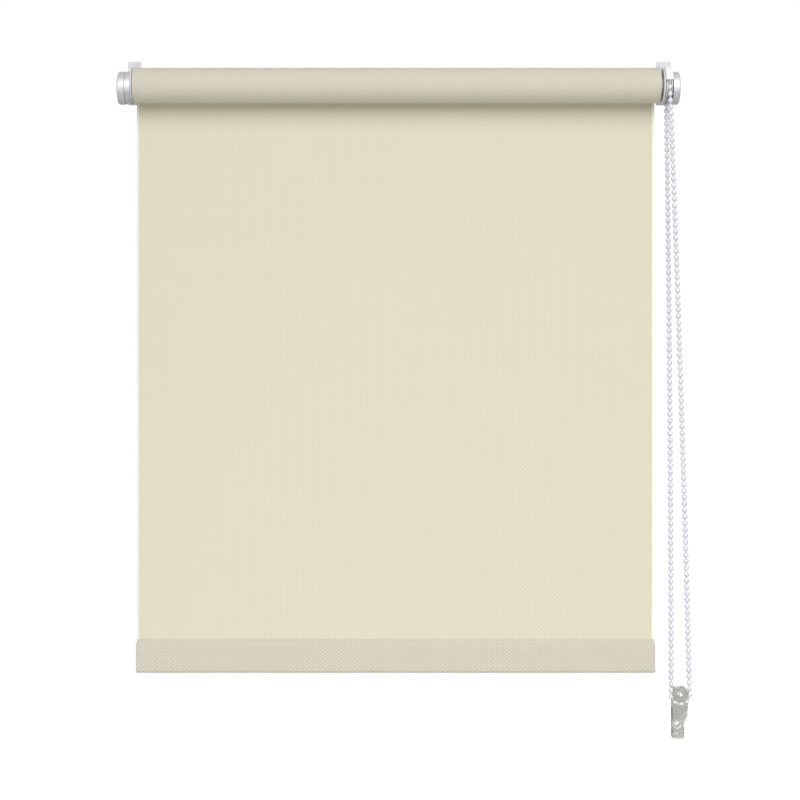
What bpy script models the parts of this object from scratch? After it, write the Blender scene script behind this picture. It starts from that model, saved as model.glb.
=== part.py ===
"""Roller blind with a bead chain drive: wall brackets, tube, fabric, clutch, chain and chain tensioner.

Units are metres. +X runs along the tube, +Y points at the wall and +Z is up. The origin is the point
of the wall midway between the brackets, at the height of the tube's axis.
"""

import math

import bmesh
import bpy
from mathutils import Matrix, Vector

# Driving dimensions ------------------------------------------------------------------------------

GAP = 0.0003                    # clearance between pieces that touch
AXIS_Y = -0.0270                # tube axis, in front of the wall
SEGMENTS = 48                   # sides of a turned piece

# Tube, its fabric groove and the wound fabric
TUBE_LEFT = -0.2404
TUBE_RIGHT = 0.2397
TUBE_RADIUS = 0.0125
TUBE_WALL = 0.0010
GROOVE_HALF = 0.0017
GROOVE_FLOOR = 0.0103
SPLINE_HALF = 0.0013
SPLINE_LENGTH = 0.4720
ROLL_LEFT = -0.2416
ROLL_RIGHT = 0.2404
ROLL_RADIUS = 0.0164

# Hanging sheet, hem pocket and bottom bar
SHEET_LEFT = -0.2438
SHEET_RIGHT = 0.2382
SHEET_THICK = 0.0005
SHEET_Y = AXIS_Y + ROLL_RADIUS + GAP + SHEET_THICK / 2
HEM_TOP = -0.5120
HEM_BOTTOM = -0.5440
HEM_THICK = 0.0060
HEM_WALL = 0.0006
BAR_HEIGHT = 0.0260
BAR_THICK = 0.0039
BAR_WALL = 0.0008
BAR_INSET = 0.0012
CAP_FLANGE = 0.0011
CAP_PLUG = 0.0120

# Brackets
PLATE_THICK = 0.0014
WALL_PLATE_THICK = 0.0018
WALL_PLATE_TOP = 0.0270
WALL_PLATE_BOTTOM = -0.0135
WALL_PLATE_CORNER = 0.0008
WALL_PLATE_LEFT = (-0.2532, -0.2412)
WALL_PLATE_RIGHT = (0.2412, 0.2552)
LEFT_PLATE_FACE = -0.2444
RIGHT_PLATE_FACE = 0.2428
NOSE_RADIUS = 0.0160
SHOULDER_Z = 0.0225
HEEL_Z = -0.0130
SCREW_HOLE_RADIUS = 0.0018
SCREW_HOLE_HEIGHTS = (0.0070, -0.0080)
SCREW_HOLE_X = 0.2496

# End housings and covers
SKIN = 0.0013
COVER_RADIUS = 0.0150
COVER_DROP = 0.0024             # how far the covers' centre sits below the tube's axis
COVER_OUTER = 0.2580
COVER_INNER = {-1: 0.2513, 1: 0.2517}  # the right cover also clears the sprocket's face
COVER_ROUND = 0.0014
HOUSING_OUTER = 0.2510
SHELL_BACK = -0.0021
GUARD_RADIUS = 0.0174
GUARD_INNER = 0.0155
GUARD_STOP = math.radians(80)
GUARD_BOTTOM = -0.0130

# Clutch
SPROCKET_X = 0.2484
SPROCKET_HALF = 0.0030
SPROCKET_RIM = 0.0123
SLEEVE_RADIUS = 0.0074
SLEEVE_END = 0.2360
FINGER_END = 0.2130
SHAFT_RADIUS = 0.0045
SHAFT_END = 0.2036
SPINDLE_DISC = (0.2522, 0.2540)
HUB_END = 0.2084
HUB_BORE = 0.0080
PLUG_RADIUS = 0.0111
FLANGE_RADIUS = 0.0123
CLIP_X = 0.2069

# Idle end
PLUG_FACE = -0.2420
PLUG_END = -0.2060
PIN_HEAD = -0.2280
PIN_TIP = -0.2490
PIN_RADIUS = 0.0025
PIN_HEAD_RADIUS = 0.0032

# Bead chain: 4.5 mm beads every 6 mm
BEAD_PITCH = 0.0060
BEAD_POCKET = 0.00245
CHAIN_TUBE = 0.0024
SPROCKET_POCKETS = 12
PULLEY_POCKETS = 9
SPROCKET_PITCH_RADIUS = SPROCKET_POCKETS * BEAD_PITCH / math.tau
PULLEY_PITCH_RADIUS = PULLEY_POCKETS * BEAD_PITCH / math.tau
CORD_SLOT_HALF = 0.0015
CORD_SLOT_DEPTH = 0.0016

# Chain tensioner
PULLEY_CENTRE = Vector((0.2630, -0.0065, -0.5648))
PULLEY_HALF = 0.0030
PULLEY_RIM = 0.0093
PULLEY_BORE = 0.0018
AXLE_RADIUS = 0.0015
TENSIONER_LEFT = 0.2551
TENSIONER_RIGHT = 0.2694
TENSIONER_WAIST = 0.2660
TENSIONER_TOP = -0.5580
TENSIONER_BOTTOM = -0.6056
TENSIONER_BACK = 0.0020
TENSIONER_FRONT = (-0.0130, -0.0110)
TENSIONER_FLOOR = -0.5772
TENSIONER_SKIN = 0.0016
TENSIONER_SCREW = (0.2600, -0.5924)

# The chain's two free strands, from the sprocket down to the pulley
FRONT_STRAND = [
    (0.2487, -0.0381, -0.006), (0.2496, -0.0370, -0.025), (0.2522, -0.0339, -0.080),
    (0.2559, -0.0294, -0.160), (0.2593, -0.0249, -0.240), (0.2626, -0.0203, -0.320),
    (0.2658, -0.0158, -0.400), (0.2687, -0.0113, -0.480), (0.2706, -0.0081, -0.535),
    (0.2714, -0.0069, -0.556),
]
BACK_STRAND = [
    (0.2485, -0.0154, -0.006), (0.2489, -0.0151, -0.025), (0.2498, -0.0143, -0.080),
    (0.2510, -0.0130, -0.160), (0.2520, -0.0117, -0.240), (0.2529, -0.0104, -0.320),
    (0.2536, -0.0091, -0.400), (0.2541, -0.0078, -0.480), (0.2543, -0.0070, -0.535),
    (0.2544, -0.0066, -0.556),
]

# Scene and materials -----------------------------------------------------------------------------


def clear_scene():
    for obj in list(bpy.data.objects):
        bpy.data.objects.remove(obj, do_unlink=True)


def finish(name, colour, roughness, metallic=0.0, alpha=1.0):
    material = bpy.data.materials.new(name)
    material.use_nodes = True
    shader = material.node_tree.nodes["Principled BSDF"]
    shader.inputs["Base Color"].default_value = (*colour, 1.0)
    shader.inputs["Roughness"].default_value = roughness
    shader.inputs["Metallic"].default_value = metallic
    shader.inputs["Alpha"].default_value = alpha
    material.diffuse_color = (*colour, alpha)
    return material


def make_finishes():
    return {
        "bracket": finish("bracket_enamel", (0.62, 0.63, 0.66), 0.45),
        "cover": finish("cover_plastic", (0.72, 0.72, 0.74), 0.35),
        "guard": finish("guard_plastic", (0.86, 0.86, 0.88), 0.30),
        "fabric": finish("blind_cloth", (0.72, 0.67, 0.52), 0.90),
        "tube": finish("tube_aluminium", (0.80, 0.80, 0.82), 0.35, 1.0),
        "steel": finish("bright_steel", (0.70, 0.70, 0.72), 0.25, 1.0),
        "spring": finish("spring_steel", (0.45, 0.45, 0.47), 0.30, 1.0),
        "nylon": finish("grey_nylon", (0.40, 0.41, 0.43), 0.50),
        "chain": finish("chain_white", (0.88, 0.88, 0.93), 0.25),
        "clear": finish("clear_plastic", (0.85, 0.87, 0.84), 0.10, 0.0, 0.35),
        "pulley": finish("pulley_plastic", (0.80, 0.81, 0.80), 0.30),
    }


# Mesh tools --------------------------------------------------------------------------------------


def object_from(name, bm, material, pivot=(0.0, 0.0, 0.0), parent=None):
    """Turn a bmesh made about its own pivot into a shaded object that stands at the pivot."""
    bmesh.ops.recalc_face_normals(bm, faces=bm.faces)
    mesh = bpy.data.meshes.new(name)
    bm.to_mesh(mesh)
    bm.free()
    mesh.materials.append(material)
    mesh.shade_smooth()
    mesh.set_sharp_from_angle(angle=math.radians(35))
    obj = bpy.data.objects.new(name, mesh)
    obj.location = pivot
    obj.parent = parent
    bpy.context.scene.collection.objects.link(obj)
    return obj


def closed_loop(bm, points):
    verts = [bm.verts.new(point) for point in points]
    edges = [bm.edges.new(pair) for pair in zip(verts, verts[1:] + verts[:1])]
    return verts, edges


def turned(profile, segments=SEGMENTS):
    """Spin a profile of (x, radius) points about the X axis."""
    bm = bmesh.new()
    verts = [bm.verts.new((x, 0.0, radius)) for x, radius in profile]
    ends_on_axis = profile[0][1] == 0.0 and profile[-1][1] == 0.0
    following = verts[1:] if ends_on_axis else verts[1:] + verts[:1]
    edges = [bm.edges.new(pair) for pair in zip(verts, following)]
    bmesh.ops.spin(bm, geom=verts + edges, cent=(0, 0, 0), axis=(1, 0, 0), angle=math.tau,
                   steps=segments, use_merge=True)
    bmesh.ops.remove_doubles(bm, verts=bm.verts, dist=1e-7)
    return bm


def prism(outline, axis, low, high):
    """Extrude a closed outline along an axis: (y, z) points along X, or (x, z) points along Y."""
    bm = bmesh.new()
    place = {"X": lambda a, b: (low, a, b), "Y": lambda a, b: (a, low, b)}[axis]
    verts = [bm.verts.new(place(*point)) for point in outline]
    face = bm.faces.new(verts)
    run = {"X": Vector((high - low, 0, 0)), "Y": Vector((0, high - low, 0))}[axis]
    extruded = bmesh.ops.extrude_face_region(bm, geom=[face])["geom"]
    bmesh.ops.translate(bm, vec=run, verts=[v for v in extruded if isinstance(v, bmesh.types.BMVert)])
    return bm


def sleeve(outer, inner, low, high):
    """Extrude the band between two (y, z) outlines of equal length along X."""
    bm = bmesh.new()
    edges = []
    for outline in (outer, inner):
        edges += closed_loop(bm, [(low, y, z) for y, z in outline])[1]
    band = bmesh.ops.bridge_loops(bm, edges=edges)["faces"]
    extruded = bmesh.ops.extrude_face_region(bm, geom=band)["geom"]
    moved = [v for v in extruded if isinstance(v, bmesh.types.BMVert)]
    bmesh.ops.translate(bm, vec=(high - low, 0, 0), verts=moved)
    return bm


def box(low, high):
    bm = bmesh.new()
    size = Vector(high) - Vector(low)
    centre = (Vector(high) + Vector(low)) / 2
    matrix = Matrix.Translation(centre) @ Matrix.Diagonal((*size, 1.0))
    bmesh.ops.create_cube(bm, size=1.0, matrix=matrix)
    return bm


def rod(start, direction, length, radius, segments=24):
    """A plain cylinder from a point along a direction."""
    bm = bmesh.new()
    direction = Vector(direction).normalized()
    centre = Vector(start) + direction * length / 2
    turn = Vector((0, 0, 1)).rotation_difference(direction).to_matrix().to_4x4()
    bmesh.ops.create_cone(bm, cap_ends=True, segments=segments, radius1=radius, radius2=radius,
                          depth=length, matrix=Matrix.Translation(centre) @ turn)
    return bm


def combine(obj, operation, bm, material):
    """Cut or add a hidden tool shape, given in the same frame as the object's own mesh."""
    tool = object_from(f"tool_{obj.name}_{len(obj.modifiers)}", bm, material, obj.location, obj.parent)
    tool.hide_render = True
    tool.hide_viewport = False
    tool.display_type = "WIRE"
    modifier = obj.modifiers.new(f"{operation.lower()}_{len(obj.modifiers)}", "BOOLEAN")
    modifier.operation = operation
    modifier.solver = "EXACT"
    modifier.object = tool


def cut(obj, bm):
    combine(obj, "DIFFERENCE", bm, obj.data.materials[0])


def add(obj, bm):
    combine(obj, "UNION", bm, obj.data.materials[0])


# Outlines ----------------------------------------------------------------------------------------


def arc(centre, radius, start, end, steps):
    """Points (y, z) on a circle. Angle 0 is straight up, and angles grow towards the room."""
    angles = [start + (end - start) * step / steps for step in range(steps + 1)]
    return [(centre[0] - radius * math.sin(a), centre[1] + radius * math.cos(a)) for a in angles]


def shell_outline(radius, steps=36):
    """Side view of the covers: round, about a point a little below the tube's axis."""
    return arc((AXIS_Y, -COVER_DROP), radius, 0.0, math.tau * (steps - 1) / steps, steps - 1)


def stadium(centre, height, thickness, steps=6):
    """Flat oval in (y, z)."""
    radius = thickness / 2
    top = (centre[0], centre[1] + height / 2 - radius)
    bottom = (centre[0], centre[1] - height / 2 + radius)
    quarter = math.pi / 2
    return arc(top, radius, -quarter, quarter, steps) + arc(bottom, radius, quarter, 3 * quarter, steps)


def rounded_plate(left, right, bottom, top, radius, steps=4):
    """Rectangle with round corners, in the plane of the wall."""
    points = []
    corners = [(right, top, 0), (left, top, 1), (left, bottom, 2), (right, bottom, 3)]
    for x, z, quarter in corners:
        centre_x = x - math.copysign(radius, x - (left + right) / 2)
        centre_z = z - math.copysign(radius, z - (top + bottom) / 2)
        for step in range(steps + 1):
            angle = (quarter + step / steps) * math.pi / 2
            points.append((centre_x + radius * math.cos(angle), centre_z + radius * math.sin(angle)))
    return points


def grooved_ring(radius, floor, half_width, steps=44):
    """Circle about the axis with a flat-floored slot at its top, in (y, z) about the axis."""
    edge = math.asin(half_width / radius)
    points = arc((0.0, 0.0), radius, edge, math.tau - edge, steps)
    return points + [(half_width, floor), (-half_width, floor)]


# Brackets, housings and covers -------------------------------------------------------------------


def bracket(name, wall_plate, face, outward, hole_radius, material):
    """Wall plate with its fixing holes, and the side plate that carries one end of the tube."""
    low, high = wall_plate
    outline = rounded_plate(low, high, WALL_PLATE_BOTTOM, WALL_PLATE_TOP, WALL_PLATE_CORNER)
    obj = object_from(name, prism(outline, "Y", -WALL_PLATE_THICK, 0.0), material)
    side = [(-0.0006, SHOULDER_Z), (AXIS_Y + 0.0060, NOSE_RADIUS)]
    side += arc((AXIS_Y, 0.0), NOSE_RADIUS, 0.0, math.pi, 20) + [(-0.0006, HEEL_Z)]
    ends = sorted((face, face + outward * PLATE_THICK))
    add(obj, prism(side, "X", *ends))
    cut(obj, rod((ends[0] - 0.001, AXIS_Y, 0.0), (1, 0, 0), PLATE_THICK + 0.002, hole_radius, 36))
    for height in SCREW_HOLE_HEIGHTS:
        cut(obj, rod((outward * SCREW_HOLE_X, 0.001, height), (0, -1, 0), 0.004, SCREW_HOLE_RADIUS, 20))
    return obj


def cover(name, outward, material):
    """Outer end cover: a round tray that opens towards the bracket, with a notch for the clutch's arm."""
    outer = outward * COVER_OUTER
    inner = outward * COVER_INNER[outward]
    bm = prism(shell_outline(COVER_RADIUS), "X", inner, outer)
    rim = [edge for edge in bm.edges if all(abs(v.co.x - outer) < 1e-6 for v in edge.verts)]
    bmesh.ops.bevel(bm, geom=rim, offset=COVER_ROUND, segments=4, profile=0.5, affect="EDGES")
    obj = object_from(name, bm, material)
    pocket = shell_outline(COVER_RADIUS - SKIN)
    ends = sorted((inner - outward * 0.002, outer - outward * (SKIN + 0.0006)))
    cut(obj, prism(pocket, "X", *ends))
    if outward > 0:
        cut(obj, box((inner - 0.002, -0.0170, -0.0054), (SPINDLE_DISC[1] + 0.0004, -0.0090, 0.0054)))
    return obj


def housing_left(material):
    """Drum between the left side plate and its cover, with the socket for the idle pin."""
    inner = LEFT_PLATE_FACE - PLATE_THICK - GAP
    obj = object_from("housing_left", prism(shell_outline(COVER_RADIUS), "X", -HOUSING_OUTER, inner),
                      material)
    pocket = shell_outline(COVER_RADIUS - SKIN)
    cut(obj, prism(pocket, "X", -HOUSING_OUTER - 0.002, inner - 0.0014))
    add(obj, rod((inner - 0.0010, AXIS_Y, 0.0), (-1, 0, 0), 0.0036, 0.0050, 28))
    cut(obj, rod((inner + 0.001, AXIS_Y, 0.0), (-1, 0, 0), inner + 0.001 - PIN_TIP + 0.0005, 0.0028, 24))
    step_start, step_end = math.radians(112), math.radians(205)
    centre = (AXIS_Y, -COVER_DROP)
    recess = arc(centre, COVER_RADIUS + 0.002, step_start, step_end, 12)
    recess += arc(centre, COVER_RADIUS - 0.0005, step_end, step_start, 12)
    cut(obj, prism(recess, "X", -HOUSING_OUTER - 0.001, inner - 0.0012))
    release = math.radians(152)
    direction = (0.0, -math.sin(release), math.cos(release))
    start = Vector((inner - 0.0022, *centre)) + Vector(direction) * (COVER_RADIUS - 0.003)
    cut(obj, rod(start, direction, 0.006, 0.0006, 10))
    return obj


def chain_guard(material):
    """Channel over the sprocket: back wall, top and upper front, open where the chain leaves."""
    outer_back, inner_back = SHELL_BACK - 0.0001, SHELL_BACK - 0.0021
    outline = [(outer_back, GUARD_BOTTOM), (outer_back, GUARD_RADIUS)]
    outline += arc((AXIS_Y, 0.0), GUARD_RADIUS, 0.0, GUARD_STOP, 12)
    outline += arc((AXIS_Y, 0.0), GUARD_INNER, GUARD_STOP, 0.0, 12)
    outline += [(inner_back, GUARD_INNER), (inner_back, GUARD_BOTTOM)]
    low = RIGHT_PLATE_FACE + PLATE_THICK + GAP
    return object_from("chain_guard", prism(outline, "X", low, HOUSING_OUTER), material)


# Tube and fabric ---------------------------------------------------------------------------------


def roller_tube(axis, material):
    outer = grooved_ring(TUBE_RADIUS, GROOVE_FLOOR, GROOVE_HALF)
    inner = grooved_ring(TUBE_RADIUS - TUBE_WALL, GROOVE_FLOOR - TUBE_WALL, GROOVE_HALF + TUBE_WALL)
    return object_from("roller_tube", sleeve(outer, inner, TUBE_LEFT, TUBE_RIGHT), material, parent=axis)


def fabric_spline(axis, material):
    low = (-SPLINE_LENGTH / 2, -SPLINE_HALF, GROOVE_FLOOR + GAP)
    high = (SPLINE_LENGTH / 2, SPLINE_HALF, TUBE_RADIUS - 0.0004)
    return object_from("fabric_spline", box(low, high), material, parent=axis)


def fabric_roll(axis, material):
    inside = TUBE_RADIUS + GAP
    profile = [(ROLL_LEFT, inside), (ROLL_LEFT, ROLL_RADIUS), (ROLL_RIGHT, ROLL_RADIUS), (ROLL_RIGHT, inside)]
    return object_from("fabric_roll", turned(profile, 64), material, parent=axis)


def fabric_sheet(material):
    low = (SHEET_LEFT, SHEET_Y - SHEET_THICK / 2, HEM_TOP)
    high = (SHEET_RIGHT, SHEET_Y + SHEET_THICK / 2, 0.0)
    return object_from("fabric_sheet", box(low, high), material)


def hem_parts(finishes):
    """Hem pocket, the bottom bar inside it and the bar's two end caps."""
    hem_height = HEM_TOP - GAP - HEM_BOTTOM
    hem_centre = (SHEET_Y, HEM_BOTTOM + hem_height / 2)
    outer = stadium(hem_centre, hem_height, HEM_THICK)
    inner = stadium(hem_centre, hem_height - 2 * HEM_WALL, HEM_THICK - 2 * HEM_WALL)
    object_from("fabric_hem", sleeve(outer, inner, SHEET_LEFT, SHEET_RIGHT), finishes["fabric"])
    bar_centre = (SHEET_Y, HEM_BOTTOM + HEM_WALL + GAP + BAR_HEIGHT / 2)
    bar_outer = stadium(bar_centre, BAR_HEIGHT, BAR_THICK)
    bar_inner = stadium(bar_centre, BAR_HEIGHT - 2 * BAR_WALL, BAR_THICK - 2 * BAR_WALL)
    bar = sleeve(bar_outer, bar_inner, SHEET_LEFT + BAR_INSET, SHEET_RIGHT - BAR_INSET)
    object_from("bottom_bar", bar, finishes["tube"])
    flange = stadium(bar_centre, BAR_HEIGHT + 0.0010, BAR_THICK + 0.0008)
    plug = stadium(bar_centre, BAR_HEIGHT - 2 * BAR_WALL - 2 * GAP, BAR_THICK - 2 * BAR_WALL - 2 * GAP)
    for name, edge, outward in (("bar_cap_left", SHEET_LEFT, -1), ("bar_cap_right", SHEET_RIGHT, 1)):
        near = edge + outward * GAP
        ends = sorted((near, near + outward * CAP_FLANGE))
        cap = object_from(name, prism(flange, "X", *ends), finishes["cover"])
        ends = sorted((near + outward * CAP_FLANGE / 2, near - outward * CAP_PLUG))
        add(cap, prism(plug, "X", *ends))


# Idle end ----------------------------------------------------------------------------------------


def key_slot(low, high):
    """Slot that lets an end plug pass over the underside of the tube's groove."""
    floor = GROOVE_FLOOR - TUBE_WALL - GAP
    half = GROOVE_HALF + TUBE_WALL + GAP
    return box((low, -half, floor), (high, half, FLANGE_RADIUS + 0.002))


def helix(x0, x1, radius, turns, steps):
    """Points of a coil about the X axis."""
    count = turns * steps
    points = []
    for index in range(count + 1):
        angle = math.tau * index / steps
        x = x0 + (x1 - x0) * index / count
        points.append(Vector((x, radius * math.sin(angle), radius * math.cos(angle))))
    return points


def wire(name, points, thickness, resolution, material, parent=None):
    """A round wire or cord through the points, with closed ends."""
    curve = bpy.data.curves.new(name, "CURVE")
    curve.dimensions = "3D"
    curve.bevel_depth = thickness / 2
    curve.bevel_resolution = resolution
    curve.use_fill_caps = True
    spline = curve.splines.new("POLY")
    spline.points.add(len(points) - 1)
    for target, point in zip(spline.points, points):
        target.co = (*point, 1.0)
    curve.materials.append(material)
    obj = bpy.data.objects.new(name, curve)
    obj.parent = parent
    bpy.context.scene.collection.objects.link(obj)
    return obj


def idle_end(axis, finishes):
    """Plug in the tube's left end, with the sprung pin that seats in the left bracket."""
    shoulder = PLUG_FACE + 0.0034
    neck, bore = PIN_RADIUS + GAP, PIN_HEAD_RADIUS + GAP
    body = TUBE_LEFT - GAP
    profile = [(PLUG_FACE, neck), (PLUG_FACE, FLANGE_RADIUS), (body, FLANGE_RADIUS), (body, PLUG_RADIUS),
               (PLUG_END, PLUG_RADIUS), (PLUG_END, bore), (shoulder, bore), (shoulder, neck)]
    plug = object_from("idle_plug", turned(profile), finishes["nylon"], parent=axis)
    cut(plug, key_slot(body, PLUG_END + 0.001))
    head = shoulder + GAP
    profile = [(PIN_HEAD, 0.0), (PIN_HEAD, PIN_HEAD_RADIUS), (head, PIN_HEAD_RADIUS), (head, PIN_RADIUS),
               (PIN_TIP + 0.0010, PIN_RADIUS), (PIN_TIP, PIN_RADIUS - 0.0008), (PIN_TIP, 0.0)]
    object_from("idle_pin", turned(profile, 32), finishes["steel"], parent=axis)
    stop_face = PLUG_END - 0.0034
    profile = [(stop_face, 0.0), (stop_face, bore - GAP), (PLUG_END + GAP, bore - GAP),
               (PLUG_END + GAP, 0.0052), (PLUG_END + GAP + 0.0015, 0.0052), (PLUG_END + GAP + 0.0015, 0.0)]
    object_from("spring_stop", turned(profile, 32), finishes["nylon"], parent=axis)
    wire_radius = 0.0003
    start, end = PIN_HEAD + GAP + wire_radius, stop_face - GAP - wire_radius
    wire("idle_spring", helix(start, end, 0.0026, 9, 12), 2 * wire_radius, 1, finishes["spring"], axis)


# Clutch ------------------------------------------------------------------------------------------


def ball_cutter(count, x, pitch_radius):
    """Ring of balls about the X axis that cut the pockets for the chain's beads."""
    bm = bmesh.new()
    for index in range(count):
        angle = math.tau * (index + 0.5) / count
        centre = Vector((x, -pitch_radius * math.sin(angle), pitch_radius * math.cos(angle)))
        matrix = Matrix.Translation(centre) @ Matrix.Rotation(math.pi / 2, 4, "Y")
        bmesh.ops.create_uvsphere(bm, u_segments=8, v_segments=6, radius=BEAD_POCKET, matrix=matrix)
    return bm


def chain_wheel_profile(x, half, rim, pitch_radius, bore):
    """Grooved rim, from the outer face round to the inner face, as (x, radius) points."""
    floor = pitch_radius - CORD_SLOT_DEPTH
    return [(x + half, bore), (x + half, rim - 0.0003), (x + half - 0.0003, rim),
            (x + CORD_SLOT_HALF, rim), (x + CORD_SLOT_HALF, floor), (x - CORD_SLOT_HALF, floor),
            (x - CORD_SLOT_HALF, rim), (x - half + 0.0003, rim), (x - half, rim - 0.0003)]


def chain_sprocket(axis, material):
    bore = SHAFT_RADIUS + GAP
    profile = chain_wheel_profile(SPROCKET_X, SPROCKET_HALF, SPROCKET_RIM, SPROCKET_PITCH_RADIUS, bore)
    profile += [(SPROCKET_X - SPROCKET_HALF, SLEEVE_RADIUS), (SLEEVE_END, SLEEVE_RADIUS), (SLEEVE_END, bore)]
    obj = object_from("chain_sprocket", turned(profile), material, parent=axis)
    cut(obj, ball_cutter(SPROCKET_POCKETS, SPROCKET_X, SPROCKET_PITCH_RADIUS))
    finger = math.radians(24)
    outline = arc((0.0, 0.0), SLEEVE_RADIUS - 0.0002, -finger, finger, 6)
    outline += arc((0.0, 0.0), SLEEVE_RADIUS - 0.0012, finger, -finger, 6)
    add(obj, prism(outline, "X", FINGER_END, SLEEVE_END + 0.002))
    return obj


def clutch_spindle(axis, material):
    """Fixed core of the clutch: outer disc, shaft with a clip groove, and the arm to the bracket."""
    low, high = SPINDLE_DISC
    profile = [(SHAFT_END, 0.0), (SHAFT_END, SHAFT_RADIUS - 0.0005), (SHAFT_END + 0.0005, SHAFT_RADIUS),
               (CLIP_X - GAP, SHAFT_RADIUS), (CLIP_X - GAP, SHAFT_RADIUS - 0.0008),
               (CLIP_X + 0.0013, SHAFT_RADIUS - 0.0008), (CLIP_X + 0.0013, SHAFT_RADIUS),
               (low, SHAFT_RADIUS), (low, 0.0110), (high, 0.0110), (high, 0.0)]
    obj = object_from("clutch_spindle", turned(profile), material, parent=axis)
    arm_back, arm_front, half = -0.0060 - AXIS_Y, -0.0108 - AXIS_Y, 0.0050
    add(obj, box((low + 0.0001, 0.0070, -half), (high - 0.0001, arm_back, half)))
    near = RIGHT_PLATE_FACE + PLATE_THICK + GAP
    add(obj, box((near, arm_front, -half + 0.0002), (high - 0.0004, arm_back - 0.0002, half - 0.0002)))
    return obj


def drive_hub(axis, material):
    """Hub that turns the tube: flange, key slot, and the rib between the wrap spring's legs."""
    body = TUBE_RIGHT + GAP
    face = body + 0.0014
    web = HUB_END + 0.0032
    profile = [(face, HUB_BORE), (face, FLANGE_RADIUS), (body, FLANGE_RADIUS), (body, PLUG_RADIUS),
               (HUB_END, PLUG_RADIUS), (HUB_END, SHAFT_RADIUS + GAP), (web, SHAFT_RADIUS + GAP),
               (web, HUB_BORE)]
    obj = object_from("drive_hub", turned(profile), material, parent=axis)
    cut(obj, key_slot(HUB_END - 0.001, body))
    rib = math.radians(18)
    outline = arc((0.0, 0.0), HUB_BORE + 0.0006, math.pi - rib, math.pi + rib, 6)
    outline += arc((0.0, 0.0), SLEEVE_RADIUS - 0.0010, math.pi + rib, math.pi - rib, 6)
    add(obj, prism(outline, "X", web - 0.0006, SLEEVE_END - 0.0010))
    return obj


def wrap_spring(axis, material):
    """Coil that grips the shaft, with a leg turned out at each end of the coil."""
    radius, leg = 0.0054, 0.0071
    coil = helix(0.2160, 0.2320, radius, 10, 12)
    points = []
    for index, end in ((0, 1), (-1, -1)):
        outward = Vector((0.0, coil[index].y, coil[index].z)).normalized()
        tip = coil[index] + outward * (leg - radius)
        knee = coil[index] + outward * (leg - radius) * 0.4
        points += [tip, knee][::end]
    first, last = points[:2], points[2:]
    quarter = Matrix.Rotation(math.radians(40), 4, "X")
    path = [quarter @ point for point in first + coil[1:-1] + last]
    wire("wrap_spring", path, 0.0008, 1, material, axis)


def hub_clip(axis, material):
    """Open ring that snaps into the shaft's groove and holds the hub on."""
    open_half = math.radians(32)
    outline = arc((0.0, 0.0), 0.0070, open_half, math.tau - open_half, 24)
    outline += arc((0.0, 0.0), SHAFT_RADIUS - 0.0008 + GAP, math.tau - open_half, open_half, 24)
    object_from("hub_clip", prism(outline, "X", CLIP_X, CLIP_X + 0.0010), material, parent=axis)


# Chain -------------------------------------------------------------------------------------------


def wheel_arc(centre, along, up, radius, start, end, steps):
    """Points on a wheel, turning from the direction 'up' towards 'along'."""
    points = []
    for step in range(steps + 1):
        angle = math.radians(start + (end - start) * step / steps)
        points.append(centre + radius * (math.sin(angle) * along + math.cos(angle) * up))
    return points


def chain_route():
    """The loop's own points: over the sprocket, down the front, round the pulley, up the back."""
    room, right, up = Vector((0, -1, 0)), Vector((1, 0, 0)), Vector((0, 0, 1))
    top = Vector((SPROCKET_X, AXIS_Y, 0.0))
    route = wheel_arc(top, room, up, SPROCKET_PITCH_RADIUS, 1.0, 90.0, 4)
    route += [Vector(point) for point in FRONT_STRAND]
    route += wheel_arc(PULLEY_CENTRE, right, up, PULLEY_PITCH_RADIUS, 90.0, 270.0, 7)
    route += [Vector(point) for point in reversed(BACK_STRAND)]
    route += wheel_arc(top, room, up, SPROCKET_PITCH_RADIUS, -90.0, -1.0, 4)
    return route


def on_curve(a, b, c, d, share):
    """Point between b and c on the centripetal Catmull-Rom curve through a, b, c and d."""
    at_b = math.sqrt((b - a).length)
    at_c = at_b + math.sqrt((c - b).length)
    at_d = at_c + math.sqrt((d - c).length)
    t = at_b + (at_c - at_b) * share
    ab = a.lerp(b, t / at_b)
    bc = b.lerp(c, (t - at_b) / (at_c - at_b))
    cd = c.lerp(d, (t - at_c) / (at_d - at_c))
    abc = ab.lerp(bc, t / at_c)
    bcd = bc.lerp(cd, (t - at_b) / (at_d - at_b))
    return abc.lerp(bcd, (t - at_b) / (at_c - at_b))


def smooth_path(route, spacing, most=4):
    """Smooth curve through the route, with a point at least every spacing, or most points a stretch."""
    ends = [2 * route[0] - route[1]] + route + [2 * route[-1] - route[-2]]
    path = [route[0]]
    for a, b, c, d in zip(ends, ends[1:], ends[2:], ends[3:]):
        steps = max(1, min(most, math.ceil((c - b).length / spacing)))
        path += [on_curve(a, b, c, d, step / steps) for step in range(1, steps + 1)]
    return path


def bead_angle_on_pulley(path):
    """Direction, from straight up towards +X, of the first bead that sits on the pulley."""
    travelled, bead = 0.0, BEAD_PITCH / 2
    for start, end in zip(path, path[1:]):
        step = (end - start).length
        while bead <= travelled + step:
            place = start.lerp(end, (bead - travelled) / step) - PULLEY_CENTRE
            if place.z < -PULLEY_PITCH_RADIUS / 2:
                return math.atan2(place.x, place.z)
            bead += BEAD_PITCH
        travelled += step
    raise ValueError("the chain doesn't reach the pulley")


def bead_chain(path, material):
    return wire("bead_chain", path, CHAIN_TUBE, 2, material)


# Tensioner ---------------------------------------------------------------------------------------


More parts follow.
